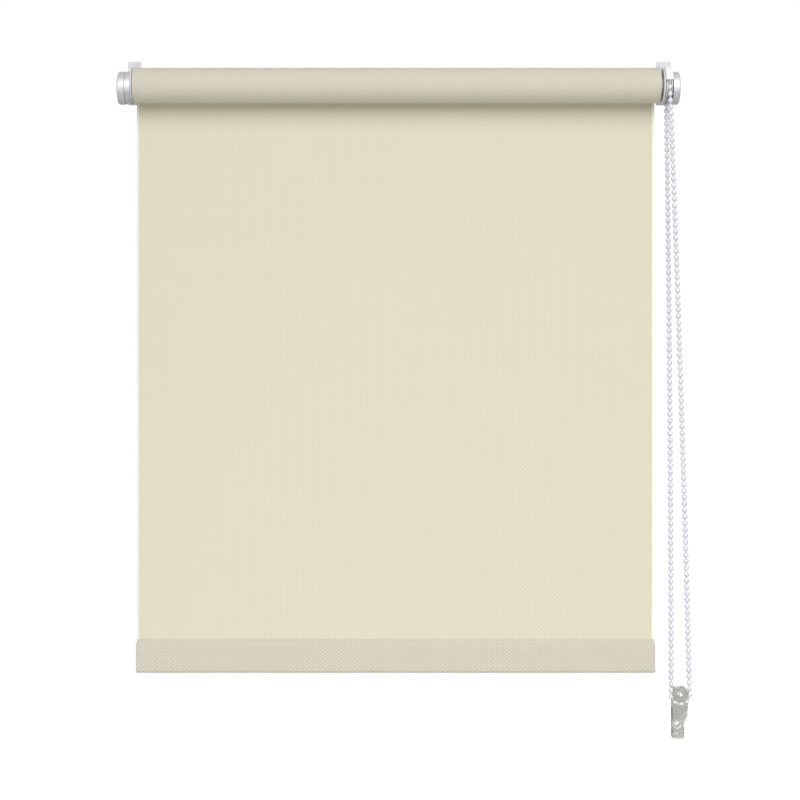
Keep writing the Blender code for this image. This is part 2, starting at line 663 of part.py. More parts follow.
def tensioner_outline(inset=0.0, top=TENSIONER_TOP):
    """Front view of the tensioner, in (x, z), with its narrower waist at the lower right."""
    left, right = TENSIONER_LEFT + inset, TENSIONER_RIGHT - inset
    waist, bottom = TENSIONER_WAIST - inset, TENSIONER_BOTTOM + inset
    corner = 0.0014
    points = [(left, bottom + corner), (left + corner, bottom), (waist - corner, bottom),
              (waist, bottom + corner), (waist, -0.5905), (right, -0.5835)]
    if top == TENSIONER_TOP:
        return points + [(right, top - 0.0045), (right - 0.0035, top), (left + 0.0012, top),
                         (left, top - 0.0012)]
    return points + [(right, top), (left, top)]


def tensioner(first_bead, finishes):
    """Two clear halves, and the pulley that turns on its axle between them."""
    screw_x, screw_z = TENSIONER_SCREW
    front_low, front_high = TENSIONER_FRONT
    wall_front = front_high + GAP
    axle_front = (PULLEY_CENTRE.x, front_low + 0.0002, PULLEY_CENTRE.z)
    clear = finishes["clear"]
    back = object_from("tensioner_back", prism(tensioner_outline(), "Y", -TENSIONER_BACK, 0.0), clear)
    add(back, prism(tensioner_outline(top=TENSIONER_FLOOR), "Y", wall_front, -TENSIONER_BACK / 2))
    pocket = tensioner_outline(TENSIONER_SKIN, TENSIONER_FLOOR - TENSIONER_SKIN)
    cut(back, prism(pocket, "Y", wall_front - 0.001, -TENSIONER_BACK))
    add(back, rod((screw_x, wall_front, screw_z), (0, 1, 0), -wall_front - 0.0010, 0.0040, 28))
    cut(back, rod((screw_x, wall_front - 0.001, screw_z), (0, 1, 0), 0.02, 0.0021, 24))
    cut(back, rod((PULLEY_CENTRE.x, -0.004, PULLEY_CENTRE.z), (0, 1, 0), 0.008, PULLEY_BORE, 24))
    front = object_from("tensioner_front", prism(tensioner_outline(), "Y", front_low, front_high), clear)
    cut(front, rod((screw_x, front_low - 0.001, screw_z), (0, 1, 0), 0.005, 0.0036, 28))
    cut(front, rod((PULLEY_CENTRE.x, front_low - 0.001, PULLEY_CENTRE.z), (0, 1, 0), 0.005, PULLEY_BORE, 24))
    length = -0.0002 - axle_front[1]
    object_from("tensioner_axle", rod(axle_front, (0, 1, 0), length, AXLE_RADIUS, 20), finishes["steel"])
    profile = chain_wheel_profile(0.0, PULLEY_HALF, PULLEY_RIM, PULLEY_PITCH_RADIUS, PULLEY_BORE)
    profile += [(-PULLEY_HALF, PULLEY_BORE)]
    pulley = object_from("tensioner_pulley", turned(profile, 36), finishes["pulley"])
    cut(pulley, ball_cutter(PULLEY_POCKETS, 0.0, PULLEY_PITCH_RADIUS))
    first_pocket = math.pi / PULLEY_POCKETS
    for piece in [pulley] + [modifier.object for modifier in pulley.modifiers]:
        piece.location = PULLEY_CENTRE
        piece.rotation_euler = (first_bead - first_pocket, 0.0, math.pi / 2)


def main():
    clear_scene()
    finishes = make_finishes()
    axis = bpy.data.objects.new("tube_axis", None)
    axis.location = (0.0, AXIS_Y, 0.0)
    bpy.context.scene.collection.objects.link(axis)
    bracket("bracket_left", WALL_PLATE_LEFT, LEFT_PLATE_FACE, -1, PIN_RADIUS + GAP, finishes["bracket"])
    bracket("bracket_right", WALL_PLATE_RIGHT, RIGHT_PLATE_FACE, 1, 0.0090, finishes["bracket"])
    housing_left(finishes["cover"])
    cover("cover_left", -1, finishes["cover"])
    cover("cover_right", 1, finishes["cover"])
    chain_guard(finishes["guard"])
    roller_tube(axis, finishes["tube"])
    fabric_spline(axis, finishes["nylon"])
    fabric_roll(axis, finishes["fabric"])
    fabric_sheet(finishes["fabric"])
    hem_parts(finishes)
    idle_end(axis, finishes)
    clutch_spindle(axis, finishes["nylon"])
    chain_sprocket(axis, finishes["chain"])
    drive_hub(axis, finishes["nylon"])
    wrap_spring(axis, finishes["spring"])
    hub_clip(axis, finishes["spring"])
    path = smooth_path(chain_route(), 0.0200)
    bead_chain(path, finishes["chain"])
    tensioner(bead_angle_on_pulley(path), finishes)


main()
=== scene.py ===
"""Roller blind with a bead chain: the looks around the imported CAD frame.

Metres throughout. +X runs along the tube, +Y points at the wall and +Z is up.
"""

import math

import bmesh
import bpy
from bpy.props import FloatProperty, FloatVectorProperty, IntProperty, PointerProperty
from mathutils import Matrix, Vector


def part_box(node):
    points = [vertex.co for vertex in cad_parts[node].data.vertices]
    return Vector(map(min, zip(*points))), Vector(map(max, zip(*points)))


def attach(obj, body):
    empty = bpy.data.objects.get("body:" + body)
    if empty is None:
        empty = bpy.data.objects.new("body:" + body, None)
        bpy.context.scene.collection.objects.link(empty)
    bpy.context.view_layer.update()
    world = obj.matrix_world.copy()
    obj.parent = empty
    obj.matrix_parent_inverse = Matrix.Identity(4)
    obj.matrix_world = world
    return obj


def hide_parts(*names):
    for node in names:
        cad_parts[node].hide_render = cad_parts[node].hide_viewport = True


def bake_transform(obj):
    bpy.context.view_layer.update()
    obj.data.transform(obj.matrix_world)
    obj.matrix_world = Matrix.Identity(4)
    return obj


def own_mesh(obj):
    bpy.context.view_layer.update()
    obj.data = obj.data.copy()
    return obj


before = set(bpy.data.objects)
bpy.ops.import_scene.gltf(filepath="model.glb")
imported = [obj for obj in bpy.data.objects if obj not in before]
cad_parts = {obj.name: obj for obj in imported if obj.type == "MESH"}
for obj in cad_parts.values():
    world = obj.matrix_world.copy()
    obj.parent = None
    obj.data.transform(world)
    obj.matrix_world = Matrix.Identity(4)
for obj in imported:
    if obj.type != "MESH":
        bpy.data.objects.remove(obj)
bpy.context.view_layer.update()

bl_info = {
    "name": "Roller Blind",
    "version": (1, 0, 0),
    "blender": (4, 5, 0),
    "location": "View3D > Sidebar > Blind",
    "description": "Builds a roller blind with its cloth, brackets, bead chain and chain tensioner",
    "category": "Object",
}

# Places that the CAD model settles

AXIS_Y = -0.0270                    # tube axis, in front of the wall

ROLL_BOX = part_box("fabric_roll")
SHEET_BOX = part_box("fabric_sheet")
HEM_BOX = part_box("fabric_hem")
PULLEY_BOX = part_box("tensioner_pulley")

TUCK = 0.0022                       # how far the sheet reaches into the hem's weld
SHEET_COLUMNS, SHEET_ROWS = 40, 64
FACE_DEPTH, HEM_DEPTH = 1.25, 1.6   # strength of the weave beside that on the roll
DOT_ROWS = 1.6636                   # two rows of dots, in rib pitches

SPROCKET_X = 0.2484
BEAD_PITCH = 0.0060
BEAD_COUNT = 199
BEAD_STRETCH = 1.1
SPROCKET_PITCH_RADIUS = 12 * BEAD_PITCH / math.tau
PULLEY_PITCH_RADIUS = 9 * BEAD_PITCH / math.tau
PULLEY_CENTRE = Vector((0.2630, -0.0065, -0.5648))
FRONT_STRAND = [
    (0.2487, -0.0381, -0.006), (0.2496, -0.0370, -0.025), (0.2522, -0.0339, -0.080),
    (0.2559, -0.0294, -0.160), (0.2593, -0.0249, -0.240), (0.2626, -0.0203, -0.320),
    (0.2658, -0.0158, -0.400), (0.2687, -0.0113, -0.480), (0.2706, -0.0081, -0.535),
    (0.2714, -0.0069, -0.556),
]
BACK_STRAND = [
    (0.2485, -0.0154, -0.006), (0.2489, -0.0151, -0.025), (0.2498, -0.0143, -0.080),
    (0.2510, -0.0130, -0.160), (0.2520, -0.0117, -0.240), (0.2529, -0.0104, -0.320),
    (0.2536, -0.0091, -0.400), (0.2541, -0.0078, -0.480), (0.2543, -0.0070, -0.535),
    (0.2544, -0.0066, -0.556),
]

# Brackets, housings and covers, as in the CAD model
WALL_PLATES = {-1: (-0.2532, -0.2412), 1: (0.2412, 0.2552)}
SIDE_FACES = {-1: -0.2444, 1: 0.2428}
SIDE_HOLES = {-1: 0.0028, 1: 0.0090}
PLATE_THICK = 0.0014
WALL_PLATE_THICK = 0.0018
WALL_PLATE_TOP = 0.0270
WALL_PLATE_BOTTOM = -0.0135
WALL_PLATE_CORNER = 0.0008
HEEL_Z = -0.0130
NOSE_RADIUS = 0.0160
SHOULDER_Z = 0.0225
SCREW_HOLE_RADIUS = 0.0018
SCREW_HOLE_HEIGHTS = (0.0070, -0.0080)
SCREW_HOLE_X = 0.2496
COVER_RADIUS = 0.0150
COVER_DROP = 0.0024
COVER_INNER = {-1: 0.2513, 1: 0.2517}
COVER_OUTER = 0.2580
HOUSING_INNER = 0.2461
HOUSING_OUTER = 0.2510
SHELL_BACK = -0.0021
SKIN = 0.0013
GUARD_RADIUS = 0.0174
GUARD_INNER = 0.0155
GUARD_X = (0.2445, 0.2510)
GUARD_STOP = math.radians(80)
GUARD_BOTTOM = -0.0130

PIN_TRAVEL, PIN_BOSS, PIN_SOCKET = 0.0050, 0.0050, 0.0028

# Tensioner
TENSIONER_LEFT = 0.2551
TENSIONER_RIGHT = 0.2694
TENSIONER_WAIST = 0.2660
TENSIONER_TOP = -0.5580
TENSIONER_BOTTOM = -0.6056
TENSIONER_FLOOR = -0.5772
TENSIONER_WALL_FRONT = -0.0107
TENSIONER_SKIN = 0.0016
TENSIONER_SCREW = (0.2600, -0.5924)
SCREW_BOSS, SCREW_BORE, LID_OPENING = 0.0040, 0.0021, 0.0036
AXLE_BORE = 0.0018


def paint(red, green, blue):
    """Linear colour from the eight-bit display values."""
    def channel(value):
        value /= 255
        return value / 12.92 if value <= 0.04045 else ((value + 0.055) / 1.055) ** 2.4
    return tuple(channel(value) for value in (red, green, blue))


# Settings


def length_setting(name, description, default):
    return FloatProperty(name=name, description=description, default=default, min=0.0,
                         unit="LENGTH", subtype="DISTANCE", precision=5)


def colour_setting(name, description, default):
    return FloatVectorProperty(name=name, description=description, default=default, size=3,
                               min=0.0, max=1.0, subtype="COLOR")


class BLIND_ClothSettings(bpy.types.PropertyGroup):
    """Sizes and colours of the blind's cloth"""

    thickness: length_setting("Cloth Thickness", "Thickness of the woven cloth", 0.0003)
    layer_pitch: length_setting("Layer Pitch", "Growth of the roll with each turn", 0.00035)
    outer_radius: length_setting("Roll Radius", "Middle of the outermost layer", 0.01620)
    inner_radius: length_setting("Core Radius", "Middle of the innermost layer", 0.01282)
    rib_pitch: length_setting("Rib Pitch", "Distance between the woven ribs", 0.00214)
    thread_pitch: length_setting("Thread Pitch", "Distance between single threads", 0.00053)
    face: colour_setting("Face Colour", "Side of the sheet towards the room", paint(236, 230, 205))
    back: colour_setting("Back Colour", "Side that shows on the roll and hem", paint(223, 218, 199))
    hem: colour_setting("Hem Colour", "The same side, where it is double", paint(225, 220, 201))
    left_edge: colour_setting("Left Edge", "Sealed edge on the left", paint(232, 233, 230))
    right_edge: colour_setting("Right Edge", "Sealed edge on the right", paint(250, 245, 228))


class BLIND_ChainSettings(bpy.types.PropertyGroup):
    """Sizes and colour of the bead chain"""

    bead_diameter: length_setting("Bead Diameter", "Diameter of one bead", 0.0049)
    cord_diameter: length_setting("Cord Diameter", "Cord that carries the beads", 0.0016)
    cord_sides: IntProperty(name="Cord Sides", description="Sides of the cord", default=8, min=5)
    colour: colour_setting("Chain Colour", "Moulded white beads", paint(230, 231, 237))


class BLIND_HardwareSettings(bpy.types.PropertyGroup):
    """Colours and edge rounding of the brackets, covers, clutch and tensioner"""

    edge: length_setting("Edge Rounding", "Rounding of moulded edges", 0.00035)
    cover_edge: length_setting("Cover Rounding", "Rounding of the covers' outer rim", 0.0014)
    bracket: colour_setting("Bracket Colour", "Enamelled brackets", paint(212, 211, 214))
    cover: colour_setting("Cover Colour", "Moulded end covers", paint(206, 206, 208))
    guard: colour_setting("Guard Colour", "White chain guard", paint(250, 250, 252))
    wheel: colour_setting("Wheel Colour", "Chain wheels", paint(228, 229, 229))
    nylon: colour_setting("Nylon Colour", "Plugs inside the tube", paint(196, 198, 202))
    clear: colour_setting("Clear Plastic", "Tint of the tensioner's plastic", paint(247, 247, 244))


class BLIND_StageSettings(bpy.types.PropertyGroup):
    """Camera, lights and floor"""

    lens: FloatProperty(name="Lens", description="Focal length on a 36 mm sensor", default=78.08)
    camera: FloatVectorProperty(name="Camera", description="Place of the camera",
                                default=(0.0013, -1.627, -0.28985), subtype="TRANSLATION")
    floor_z: FloatProperty(name="Floor Height", description="Height of the floor", default=-1.20,
                           unit="LENGTH")
    key: FloatProperty(name="Key Light", description="Power of the light above the camera",
                       default=42.5, min=0.0, unit="POWER")
    fill: FloatProperty(name="Fill Light", description="Power of the lights behind the object",
                        default=14.0, min=0.0, unit="POWER")
    ambient: FloatProperty(name="Ambient", description="Strength of the room's own light",
                           default=0.40, min=0.0)


class BLIND_Settings(bpy.types.PropertyGroup):
    """All settings of the blind"""

    cloth: PointerProperty(type=BLIND_ClothSettings)
    chain: PointerProperty(type=BLIND_ChainSettings)
    hardware: PointerProperty(type=BLIND_HardwareSettings)
    stage: PointerProperty(type=BLIND_StageSettings)


def settings():
    return bpy.context.scene.roller_blind


# Node tools


def place(tree, kind, feeds=None, **options):
    """Add a node, set its options, and link or set its inputs."""
    item = tree.nodes.new(kind)
    for name, value in options.items():
        setattr(item, name, value)
    for key, value in (feeds or {}).items():
        if isinstance(value, bpy.types.NodeSocket):
            tree.links.new(value, item.inputs[key])
        else:
            item.inputs[key].default_value = value
    return item


def maths(tree, operation, *values, clamp=False):
    return place(tree, "ShaderNodeMath", dict(enumerate(values)), operation=operation,
                 use_clamp=clamp).outputs[0]


def spread(tree, value, low, high, to_low=0.0, to_high=1.0):
    """Map a value from one range to another with smooth ends."""
    feeds = {"Value": value, "From Min": low, "From Max": high, "To Min": to_low, "To Max": to_high}
    return place(tree, "ShaderNodeMapRange", feeds, interpolation_type="SMOOTHSTEP").outputs[0]


def noise(tree, vector, scale, detail=3.0, roughness=0.5, stretch=(1.0, 1.0, 1.0)):
    moved = place(tree, "ShaderNodeMapping", {"Vector": vector, "Scale": stretch}).outputs[0]
    feeds = {"Vector": moved, "Scale": scale, "Detail": detail, "Roughness": roughness}
    return place(tree, "ShaderNodeTexNoise", feeds).outputs["Fac"]


def spots(tree, vector, size, detail, **more):
    """Noise with spots of about a given size, which may be a socket."""
    feeds = {"Vector": vector, "Scale": maths(tree, "DIVIDE", 1.0, size), "Detail": detail, **more}
    return place(tree, "ShaderNodeTexNoise", feeds).outputs["Fac"]


def blended(tree, amount, first, second, mode="MIX"):
    """Mix two colours."""
    item = place(tree, "ShaderNodeMix", data_type="RGBA", blend_type=mode, clamp_factor=True)
    for key, value in ((0, amount), (6, first), (7, second)):
        if isinstance(value, bpy.types.NodeSocket):
            tree.links.new(value, item.inputs[key])
        else:
            item.inputs[key].default_value = value if key == 0 else (*value, 1.0)
    return item.outputs[2]


def toned(tree, colour, amount, mask, darker=True):
    """Shade a colour by up to amount where the mask is one."""
    factor = maths(tree, "MULTIPLY_ADD", mask, -amount if darker else amount, 1.0)
    grey = place(tree, "ShaderNodeCombineColor", {0: factor, 1: factor, 2: factor}).outputs[0]
    return blended(tree, 1.0, colour, grey, "MULTIPLY")


def new_group(name, inputs, outputs):
    """Shader node group with a vector input, float inputs and float outputs."""
    tree = bpy.data.node_groups.new(name, "ShaderNodeTree")
    tree.interface.new_socket("Vector", in_out="INPUT", socket_type="NodeSocketVector")
    for label, default in inputs.items():
        socket = tree.interface.new_socket(label, in_out="INPUT", socket_type="NodeSocketFloat")
        socket.default_value = default
    for label in outputs:
        tree.interface.new_socket(label, in_out="OUTPUT", socket_type="NodeSocketFloat")
    return tree, tree.nodes.new("NodeGroupInput"), tree.nodes.new("NodeGroupOutput")


def weave_group():
    """Ribs along the cloth, a staggered lattice of pin dots, and the single threads."""
    name = "blind_weave"
    if name in bpy.data.node_groups:
        return bpy.data.node_groups[name]
    tree, given, out = new_group(name, {"Rib Pitch": 0.00214, "Thread Pitch": 0.00053},
                                 ("Ribs", "Dots", "Threads", "Slub"))
    split = place(tree, "ShaderNodeSeparateXYZ", {0: given.outputs["Vector"]})
    across, along = split.outputs[0], split.outputs[1]
    pitch, thread = given.outputs["Rib Pitch"], given.outputs["Thread Pitch"]

    def wave(value, period, factor=1.0):
        turns = maths(tree, "DIVIDE", value, maths(tree, "MULTIPLY", period, factor))
        return maths(tree, "COSINE", maths(tree, "MULTIPLY", turns, math.tau))

    ribs = maths(tree, "MULTIPLY_ADD", wave(across, pitch), 0.5, 0.5)
    lattice = maths(tree, "MULTIPLY", wave(across, pitch, 2.0), wave(along, pitch, DOT_ROWS))
    dots = spread(tree, lattice, 0.60, 1.00)
    weft = maths(tree, "ABSOLUTE", wave(along, thread, 2.0))
    warp = maths(tree, "ABSOLUTE", wave(across, thread, 2.0))
    checks = maths(tree, "MULTIPLY", wave(across, thread, 2.0), wave(along, thread, 2.0))
    over = spread(tree, checks, -0.2, 0.2)
    crossing = maths(tree, "ADD", maths(tree, "MULTIPLY", warp, over),
                     maths(tree, "MULTIPLY", weft, maths(tree, "SUBTRACT", 1.0, over)))
    slub = maths(tree, "ADD",
                 noise(tree, given.outputs["Vector"], 900.0, 2.0, stretch=(1.0, 0.05, 1.0)),
                 noise(tree, given.outputs["Vector"], 900.0, 2.0, stretch=(0.05, 1.0, 1.0)))
    for label, socket in (("Ribs", ribs), ("Dots", dots), ("Threads", crossing),
                          ("Slub", maths(tree, "MULTIPLY", slub, 0.5))):
        tree.links.new(socket, out.inputs[label])
    return tree


def grain_group():
    """Moulded surface: fine orange peel, faint flow marks and a mottled tone."""
    name = "moulded_grain"
    if name in bpy.data.node_groups:
        return bpy.data.node_groups[name]
    tree, given, out = new_group(name, {"Size": 0.0006, "Flow": 0.006}, ("Height", "Mottle"))
    vector = given.outputs["Vector"]
    fine = spots(tree, vector, given.outputs["Size"], 2.0)
    flow = spots(tree, vector, given.outputs["Flow"], 3.0, Distortion=0.6)
    tree.links.new(maths(tree, "MULTIPLY_ADD", flow, 0.35, fine), out.inputs["Height"])
    tree.links.new(spread(tree, flow, 0.3, 0.7), out.inputs["Mottle"])
    return tree


def wear_group():
    """Handling marks: rubbed edges and a thin film of dust on what faces up."""
    name = "edge_and_dust"
    if name in bpy.data.node_groups:
        return bpy.data.node_groups[name]
    tree, given, out = new_group(name, {"Edge": 0.02, "Dust Size": 0.002}, ("Rubbed", "Dust"))
    point = place(tree, "ShaderNodeNewGeometry").outputs["Pointiness"]
    high = maths(tree, "ADD", given.outputs["Edge"], 0.5)
    edge = spread(tree, point, 0.5, high)
    patches = spots(tree, given.outputs["Vector"], given.outputs["Dust Size"], 4.0)
    up = place(tree, "ShaderNodeSeparateXYZ",
               {0: place(tree, "ShaderNodeTexCoord").outputs["Normal"]}).outputs[2]
    facing = spread(tree, up, 0.35, 1.0)
    tree.links.new(maths(tree, "MULTIPLY", edge, spread(tree, patches, 0.35, 0.6)),
                   out.inputs["Rubbed"])
    tree.links.new(maths(tree, "MULTIPLY", facing, spread(tree, patches, 0.4, 0.75)),
                   out.inputs["Dust"])
    return tree


# Materials


def blank_material(name):
    """New material with its Principled shader, or None and the one made before."""
    if name in bpy.data.materials and bpy.data.materials[name].get("blind_ready"):
        return bpy.data.materials[name], None, None
    material = bpy.data.materials.new(name)
    material["blind_ready"] = True
    material.use_nodes = True
    tree = material.node_tree
    return material, tree, tree.nodes["Principled BSDF"]


def group_node(tree, group, vector, **values):
    item = place(tree, "ShaderNodeGroup", node_tree=group)
    tree.links.new(vector, item.inputs["Vector"])
    for label, value in values.items():
        item.inputs[label.replace("_", " ")].default_value = value
    return item


def bump(tree, height, distance, strength):
    feeds = {"Height": height, "Distance": distance, "Strength": strength}
    return place(tree, "ShaderNodeBump", feeds).outputs[0]


def cloth_material(name, colour, sealed=False, depth=1.0):
    """Woven cloth, its pattern on the UV map in metres along and across the cloth."""
    material, tree, shader = blank_material(name)
    if tree is None:
        return material
    cloth = settings().cloth
    vector = place(tree, "ShaderNodeUVMap", uv_map="cloth").outputs[0]
    weave = group_node(tree, weave_group(), vector, Rib_Pitch=cloth.rib_pitch,
                       Thread_Pitch=cloth.thread_pitch)
    ribs, dots, threads, slub = weave.outputs
    shade = blended(tree, 0.0, colour, colour)
    shade = toned(tree, shade, 0.135 * depth, maths(tree, "SUBTRACT", 1.0, ribs))
    shade = toned(tree, shade, 0.290 * depth, dots)
    shade = toned(tree, shade, 0.060, maths(tree, "SUBTRACT", 1.0, threads))
    shade = toned(tree, shade, 0.050, slub)
    shade = toned(tree, shade, 0.020, noise(tree, vector, 11.0, 2.0))
    if sealed:
        across = place(tree, "ShaderNodeSeparateXYZ", {0: vector}).outputs[0]
        width = SHEET_BOX[1].x - SHEET_BOX[0].x
        left = spread(tree, across, 0.0016, 0.0024, 1.0, 0.0)
        right = spread(tree, across, width - 0.0026, width - 0.0018)
        shade = blended(tree, left, shade, tuple(cloth.left_edge))
        shade = blended(tree, right, shade, tuple(cloth.right_edge))
    tree.links.new(shade, shader.inputs["Base Color"])
    tree.links.new(maths(tree, "MULTIPLY_ADD", threads, -0.10, 0.92), shader.inputs["Roughness"])
    relief = maths(tree, "MULTIPLY", ribs, 0.35)
    for mask, share in ((threads, 0.45), (dots, -0.5), (slub, 0.3)):
        relief = maths(tree, "MULTIPLY_ADD", mask, share, relief)
    tree.links.new(bump(tree, relief, 0.00012, 0.35), shader.inputs["Normal"])
    shader.inputs["Specular IOR Level"].default_value = 0.25
    shader.inputs["Sheen Weight"].default_value = 0.08
    shader.inputs["Sheen Roughness"].default_value = 0.5
    return material


def moulded_material(name, colour, roughness, size=0.0006, relief=0.25, *, rubbed=0.06, coat=0.0,
                     metallic=0.0, rim=0.0):
    """Moulded plastic or stoved enamel with grain, flow marks, rubbed edges and dust; rim paints shade
    onto the colour towards the outline, where the surface turns away from the view.
    """
    material, tree, shader = blank_material(name)
    if tree is None:
        return material
    vector = place(tree, "ShaderNodeTexCoord").outputs["Object"]
    grain = group_node(tree, grain_group(), vector, Size=size)
    wear = group_node(tree, wear_group(), vector)
    shade = blended(tree, 0.0, colour, colour)
    shade = toned(tree, shade, 0.035, grain.outputs["Mottle"])
    shade = toned(tree, shade, rubbed, wear.outputs["Rubbed"], darker=False)
    shade = toned(tree, shade, 0.05, wear.outputs["Dust"])
    # Painted shade: rim darkens the colour towards the outline, where the surface turns away from the
    # view.
    if rim:
        painted_outline_shade_mask = place(tree, "ShaderNodeLayerWeight", {"Blend": 0.5}).outputs["Facing"]
        shade = toned(tree, shade, rim, spread(tree, painted_outline_shade_mask, 0.25, 0.9))
    tree.links.new(shade, shader.inputs["Base Color"])
    rough = maths(tree, "MULTIPLY_ADD", grain.outputs["Mottle"], 0.08, roughness)
    rough = maths(tree, "MULTIPLY_ADD", wear.outputs["Dust"], 0.25, rough, clamp=True)
    tree.links.new(rough, shader.inputs["Roughness"])
    tree.links.new(bump(tree, grain.outputs["Height"], 0.00005, relief), shader.inputs["Normal"])
    shader.inputs["Metallic"].default_value = metallic
    shader.inputs["Coat Weight"].default_value = coat
    shader.inputs["Coat Roughness"].default_value = 0.15
    return material


def metal_material(name, colour, roughness, stretch):
    """Drawn or extruded metal with fine lines along its length."""
    material, tree, shader = blank_material(name)
    if tree is None:
        return material
    vector = place(tree, "ShaderNodeTexCoord").outputs["Object"]
    lines = noise(tree, vector, 2500.0, 3.0, stretch=stretch)
    wear = group_node(tree, wear_group(), vector)
    shade = blended(tree, 0.0, colour, colour)
    shade = toned(tree, shade, 0.14, lines)
    shade = toned(tree, shade, 0.08, wear.outputs["Rubbed"], darker=False)
    tree.links.new(shade, shader.inputs["Base Color"])
    tree.links.new(maths(tree, "MULTIPLY_ADD", lines, 0.18, roughness), shader.inputs["Roughness"])
    tree.links.new(bump(tree, lines, 0.00002, 0.3), shader.inputs["Normal"])
    shader.inputs["Metallic"].default_value = 1.0
    return material


def clear_material(name, colour):
    """Clear moulded plastic with faint flow marks."""
    material, tree, shader = blank_material(name)
    if tree is None:
        return material
    vector = place(tree, "ShaderNodeTexCoord").outputs["Object"]
    grain = group_node(tree, grain_group(), vector, Size=0.0012)
    shade = toned(tree, blended(tree, 0.0, colour, colour), 0.03, grain.outputs["Mottle"])
    tree.links.new(shade, shader.inputs["Base Color"])
    rough = maths(tree, "MULTIPLY_ADD", grain.outputs["Mottle"], 0.05, 0.04)
    tree.links.new(rough, shader.inputs["Roughness"])
    tree.links.new(bump(tree, grain.outputs["Height"], 0.00006, 0.2), shader.inputs["Normal"])
    lit_through = place(tree, "ShaderNodeLightPath").outputs["Is Shadow Ray"]
    tree.links.new(maths(tree, "MULTIPLY_ADD", lit_through, -0.85, 1.0), shader.inputs["Alpha"])
    shader.inputs["Transmission Weight"].default_value = 1.0
    shader.inputs["IOR"].default_value = 1.46
    return material


def bracket_enamel():
    return moulded_material("bracket_enamel", settings().hardware.bracket, 0.42, 0.0004, 0.3)


def cover_plastic():
    return moulded_material("cover_plastic", settings().hardware.cover, 0.42, 0.0005, metallic=0.6)


def guard_plastic():
    return moulded_material("guard_plastic", settings().hardware.guard, 0.30, 0.0005, 0.2)


def wheel_plastic():
    return moulded_material("wheel_plastic", settings().hardware.wheel, 0.32, 0.0005, 0.2)


def grey_nylon():
    return moulded_material("grey_nylon", settings().hardware.nylon, 0.48, 0.0005, 0.3)


def chain_plastic():
    # rim=0.42 paints shade onto the beads' colour towards their outline.
    return moulded_material("chain_white", settings().chain.colour, 0.22, 0.0008, 0.12,
                            rubbed=0.03, coat=0.3, rim=0.42)


def clear_plastic():
    return clear_material("clear_plastic", settings().hardware.clear)


def brushed_aluminium():
    return metal_material("tube_aluminium", paint(214, 215, 217), 0.26, (0.02, 1.0, 1.0))


def bright_steel():
    return metal_material("bright_steel", paint(196, 197, 200), 0.20, (1.0, 1.0, 1.0))


def spring_steel():
    return metal_material("spring_steel", paint(150, 151, 155), 0.28, (1.0, 1.0, 1.0))


# Mesh tools


def finished(name, bm, body, materials, stands_for=(), smooth=35.0, weighted=True):
    """Turn a bmesh into a piece that rides on a CAD body and stands for its CAD nodes."""
    mesh = bpy.data.meshes.new(name)
    bm.to_mesh(mesh)
    bm.free()
    for material in materials if isinstance(materials, list) else [materials]:
        mesh.materials.append(material)
    mesh.shade_smooth()
    mesh.set_sharp_from_angle(angle=math.radians(smooth))
    obj = bpy.data.objects.new(name, mesh)
    bpy.context.scene.collection.objects.link(obj)
    if weighted:
        modifier = obj.modifiers.new("weighted_normals", "WEIGHTED_NORMAL")
        modifier.keep_sharp = True
    if body is not None:
        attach(obj, body)
    if stands_for:
        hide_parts(*stands_for)
    return obj


def carved(bm, *steps):
    """Add or cut hidden tool shapes, one after another, and give back the result."""
    objects = []
    for shape in (bm, *(tool for _, tool in steps)):
        bmesh.ops.recalc_face_normals(shape, faces=shape.faces)
        mesh = bpy.data.meshes.new("carving")
        shape.to_mesh(mesh)
        shape.free()
        obj = bpy.data.objects.new("carving", mesh)
        bpy.context.scene.collection.objects.link(obj)
        objects.append(obj)
    body, tools = objects[0], objects[1:]
    for (operation, _), tool in zip(steps, tools):
        modifier = body.modifiers.new("carve", "BOOLEAN")
        modifier.operation = operation
        modifier.solver = "EXACT"
        modifier.object = tool
    graph = bpy.context.evaluated_depsgraph_get()
    result = bmesh.new()
    result.from_object(body, graph)
    for obj in objects:
        mesh = obj.data
        bpy.data.objects.remove(obj)
        bpy.data.meshes.remove(mesh)
    return result


def softened(bm, width, segments=2, angle=32.0):
    """Clean up flat faces and round every sharp edge."""
    bmesh.ops.remove_doubles(bm, verts=bm.verts, dist=2e-6)
    bmesh.ops.dissolve_limit(bm, angle_limit=math.radians(0.6), verts=bm.verts, edges=bm.edges)
    edges = [e for e in bm.edges
             if len(e.link_faces) == 2 and e.calc_face_angle(0.0) > math.radians(angle)]
    bmesh.ops.bevel(bm, geom=edges, offset=width, offset_type="OFFSET", segments=segments,
                    profile=0.5, affect="EDGES", clamp_overlap=True, material=-1)
    bmesh.ops.holes_fill(bm, edges=[edge for edge in bm.edges if edge.is_boundary], sides=6)
    return bm


def cad_copy(node):
    """Copy of a CAD node's mesh, with one material."""
    bm = bmesh.new()
    bm.from_mesh(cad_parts[node].data)
    for face in bm.faces:
        face.material_index = 0
    return bm


def refined(node, width=0.0002, segments=2):
    """Copy of a CAD node with its doubles merged and its edges rounded."""
    return softened(cad_copy(node), width, segments)


def extruded(outline, axis, low, high):
    """Extrude a closed outline: (y, z) points along X, or (x, z) points along Y."""
    bm = bmesh.new()
    if axis == "X":
        verts = [bm.verts.new((low, y, z)) for y, z in outline]
        run = Vector((high - low, 0.0, 0.0))
    else:
        verts = [bm.verts.new((x, low, z)) for x, z in outline]
        run = Vector((0.0, high - low, 0.0))
    face = bm.faces.new(verts)
    made = bmesh.ops.extrude_face_region(bm, geom=[face])["geom"]
    bmesh.ops.translate(bm, vec=run, verts=[v for v in made if isinstance(v, bmesh.types.BMVert)])
    bmesh.ops.recalc_face_normals(bm, faces=bm.faces)
    return bm


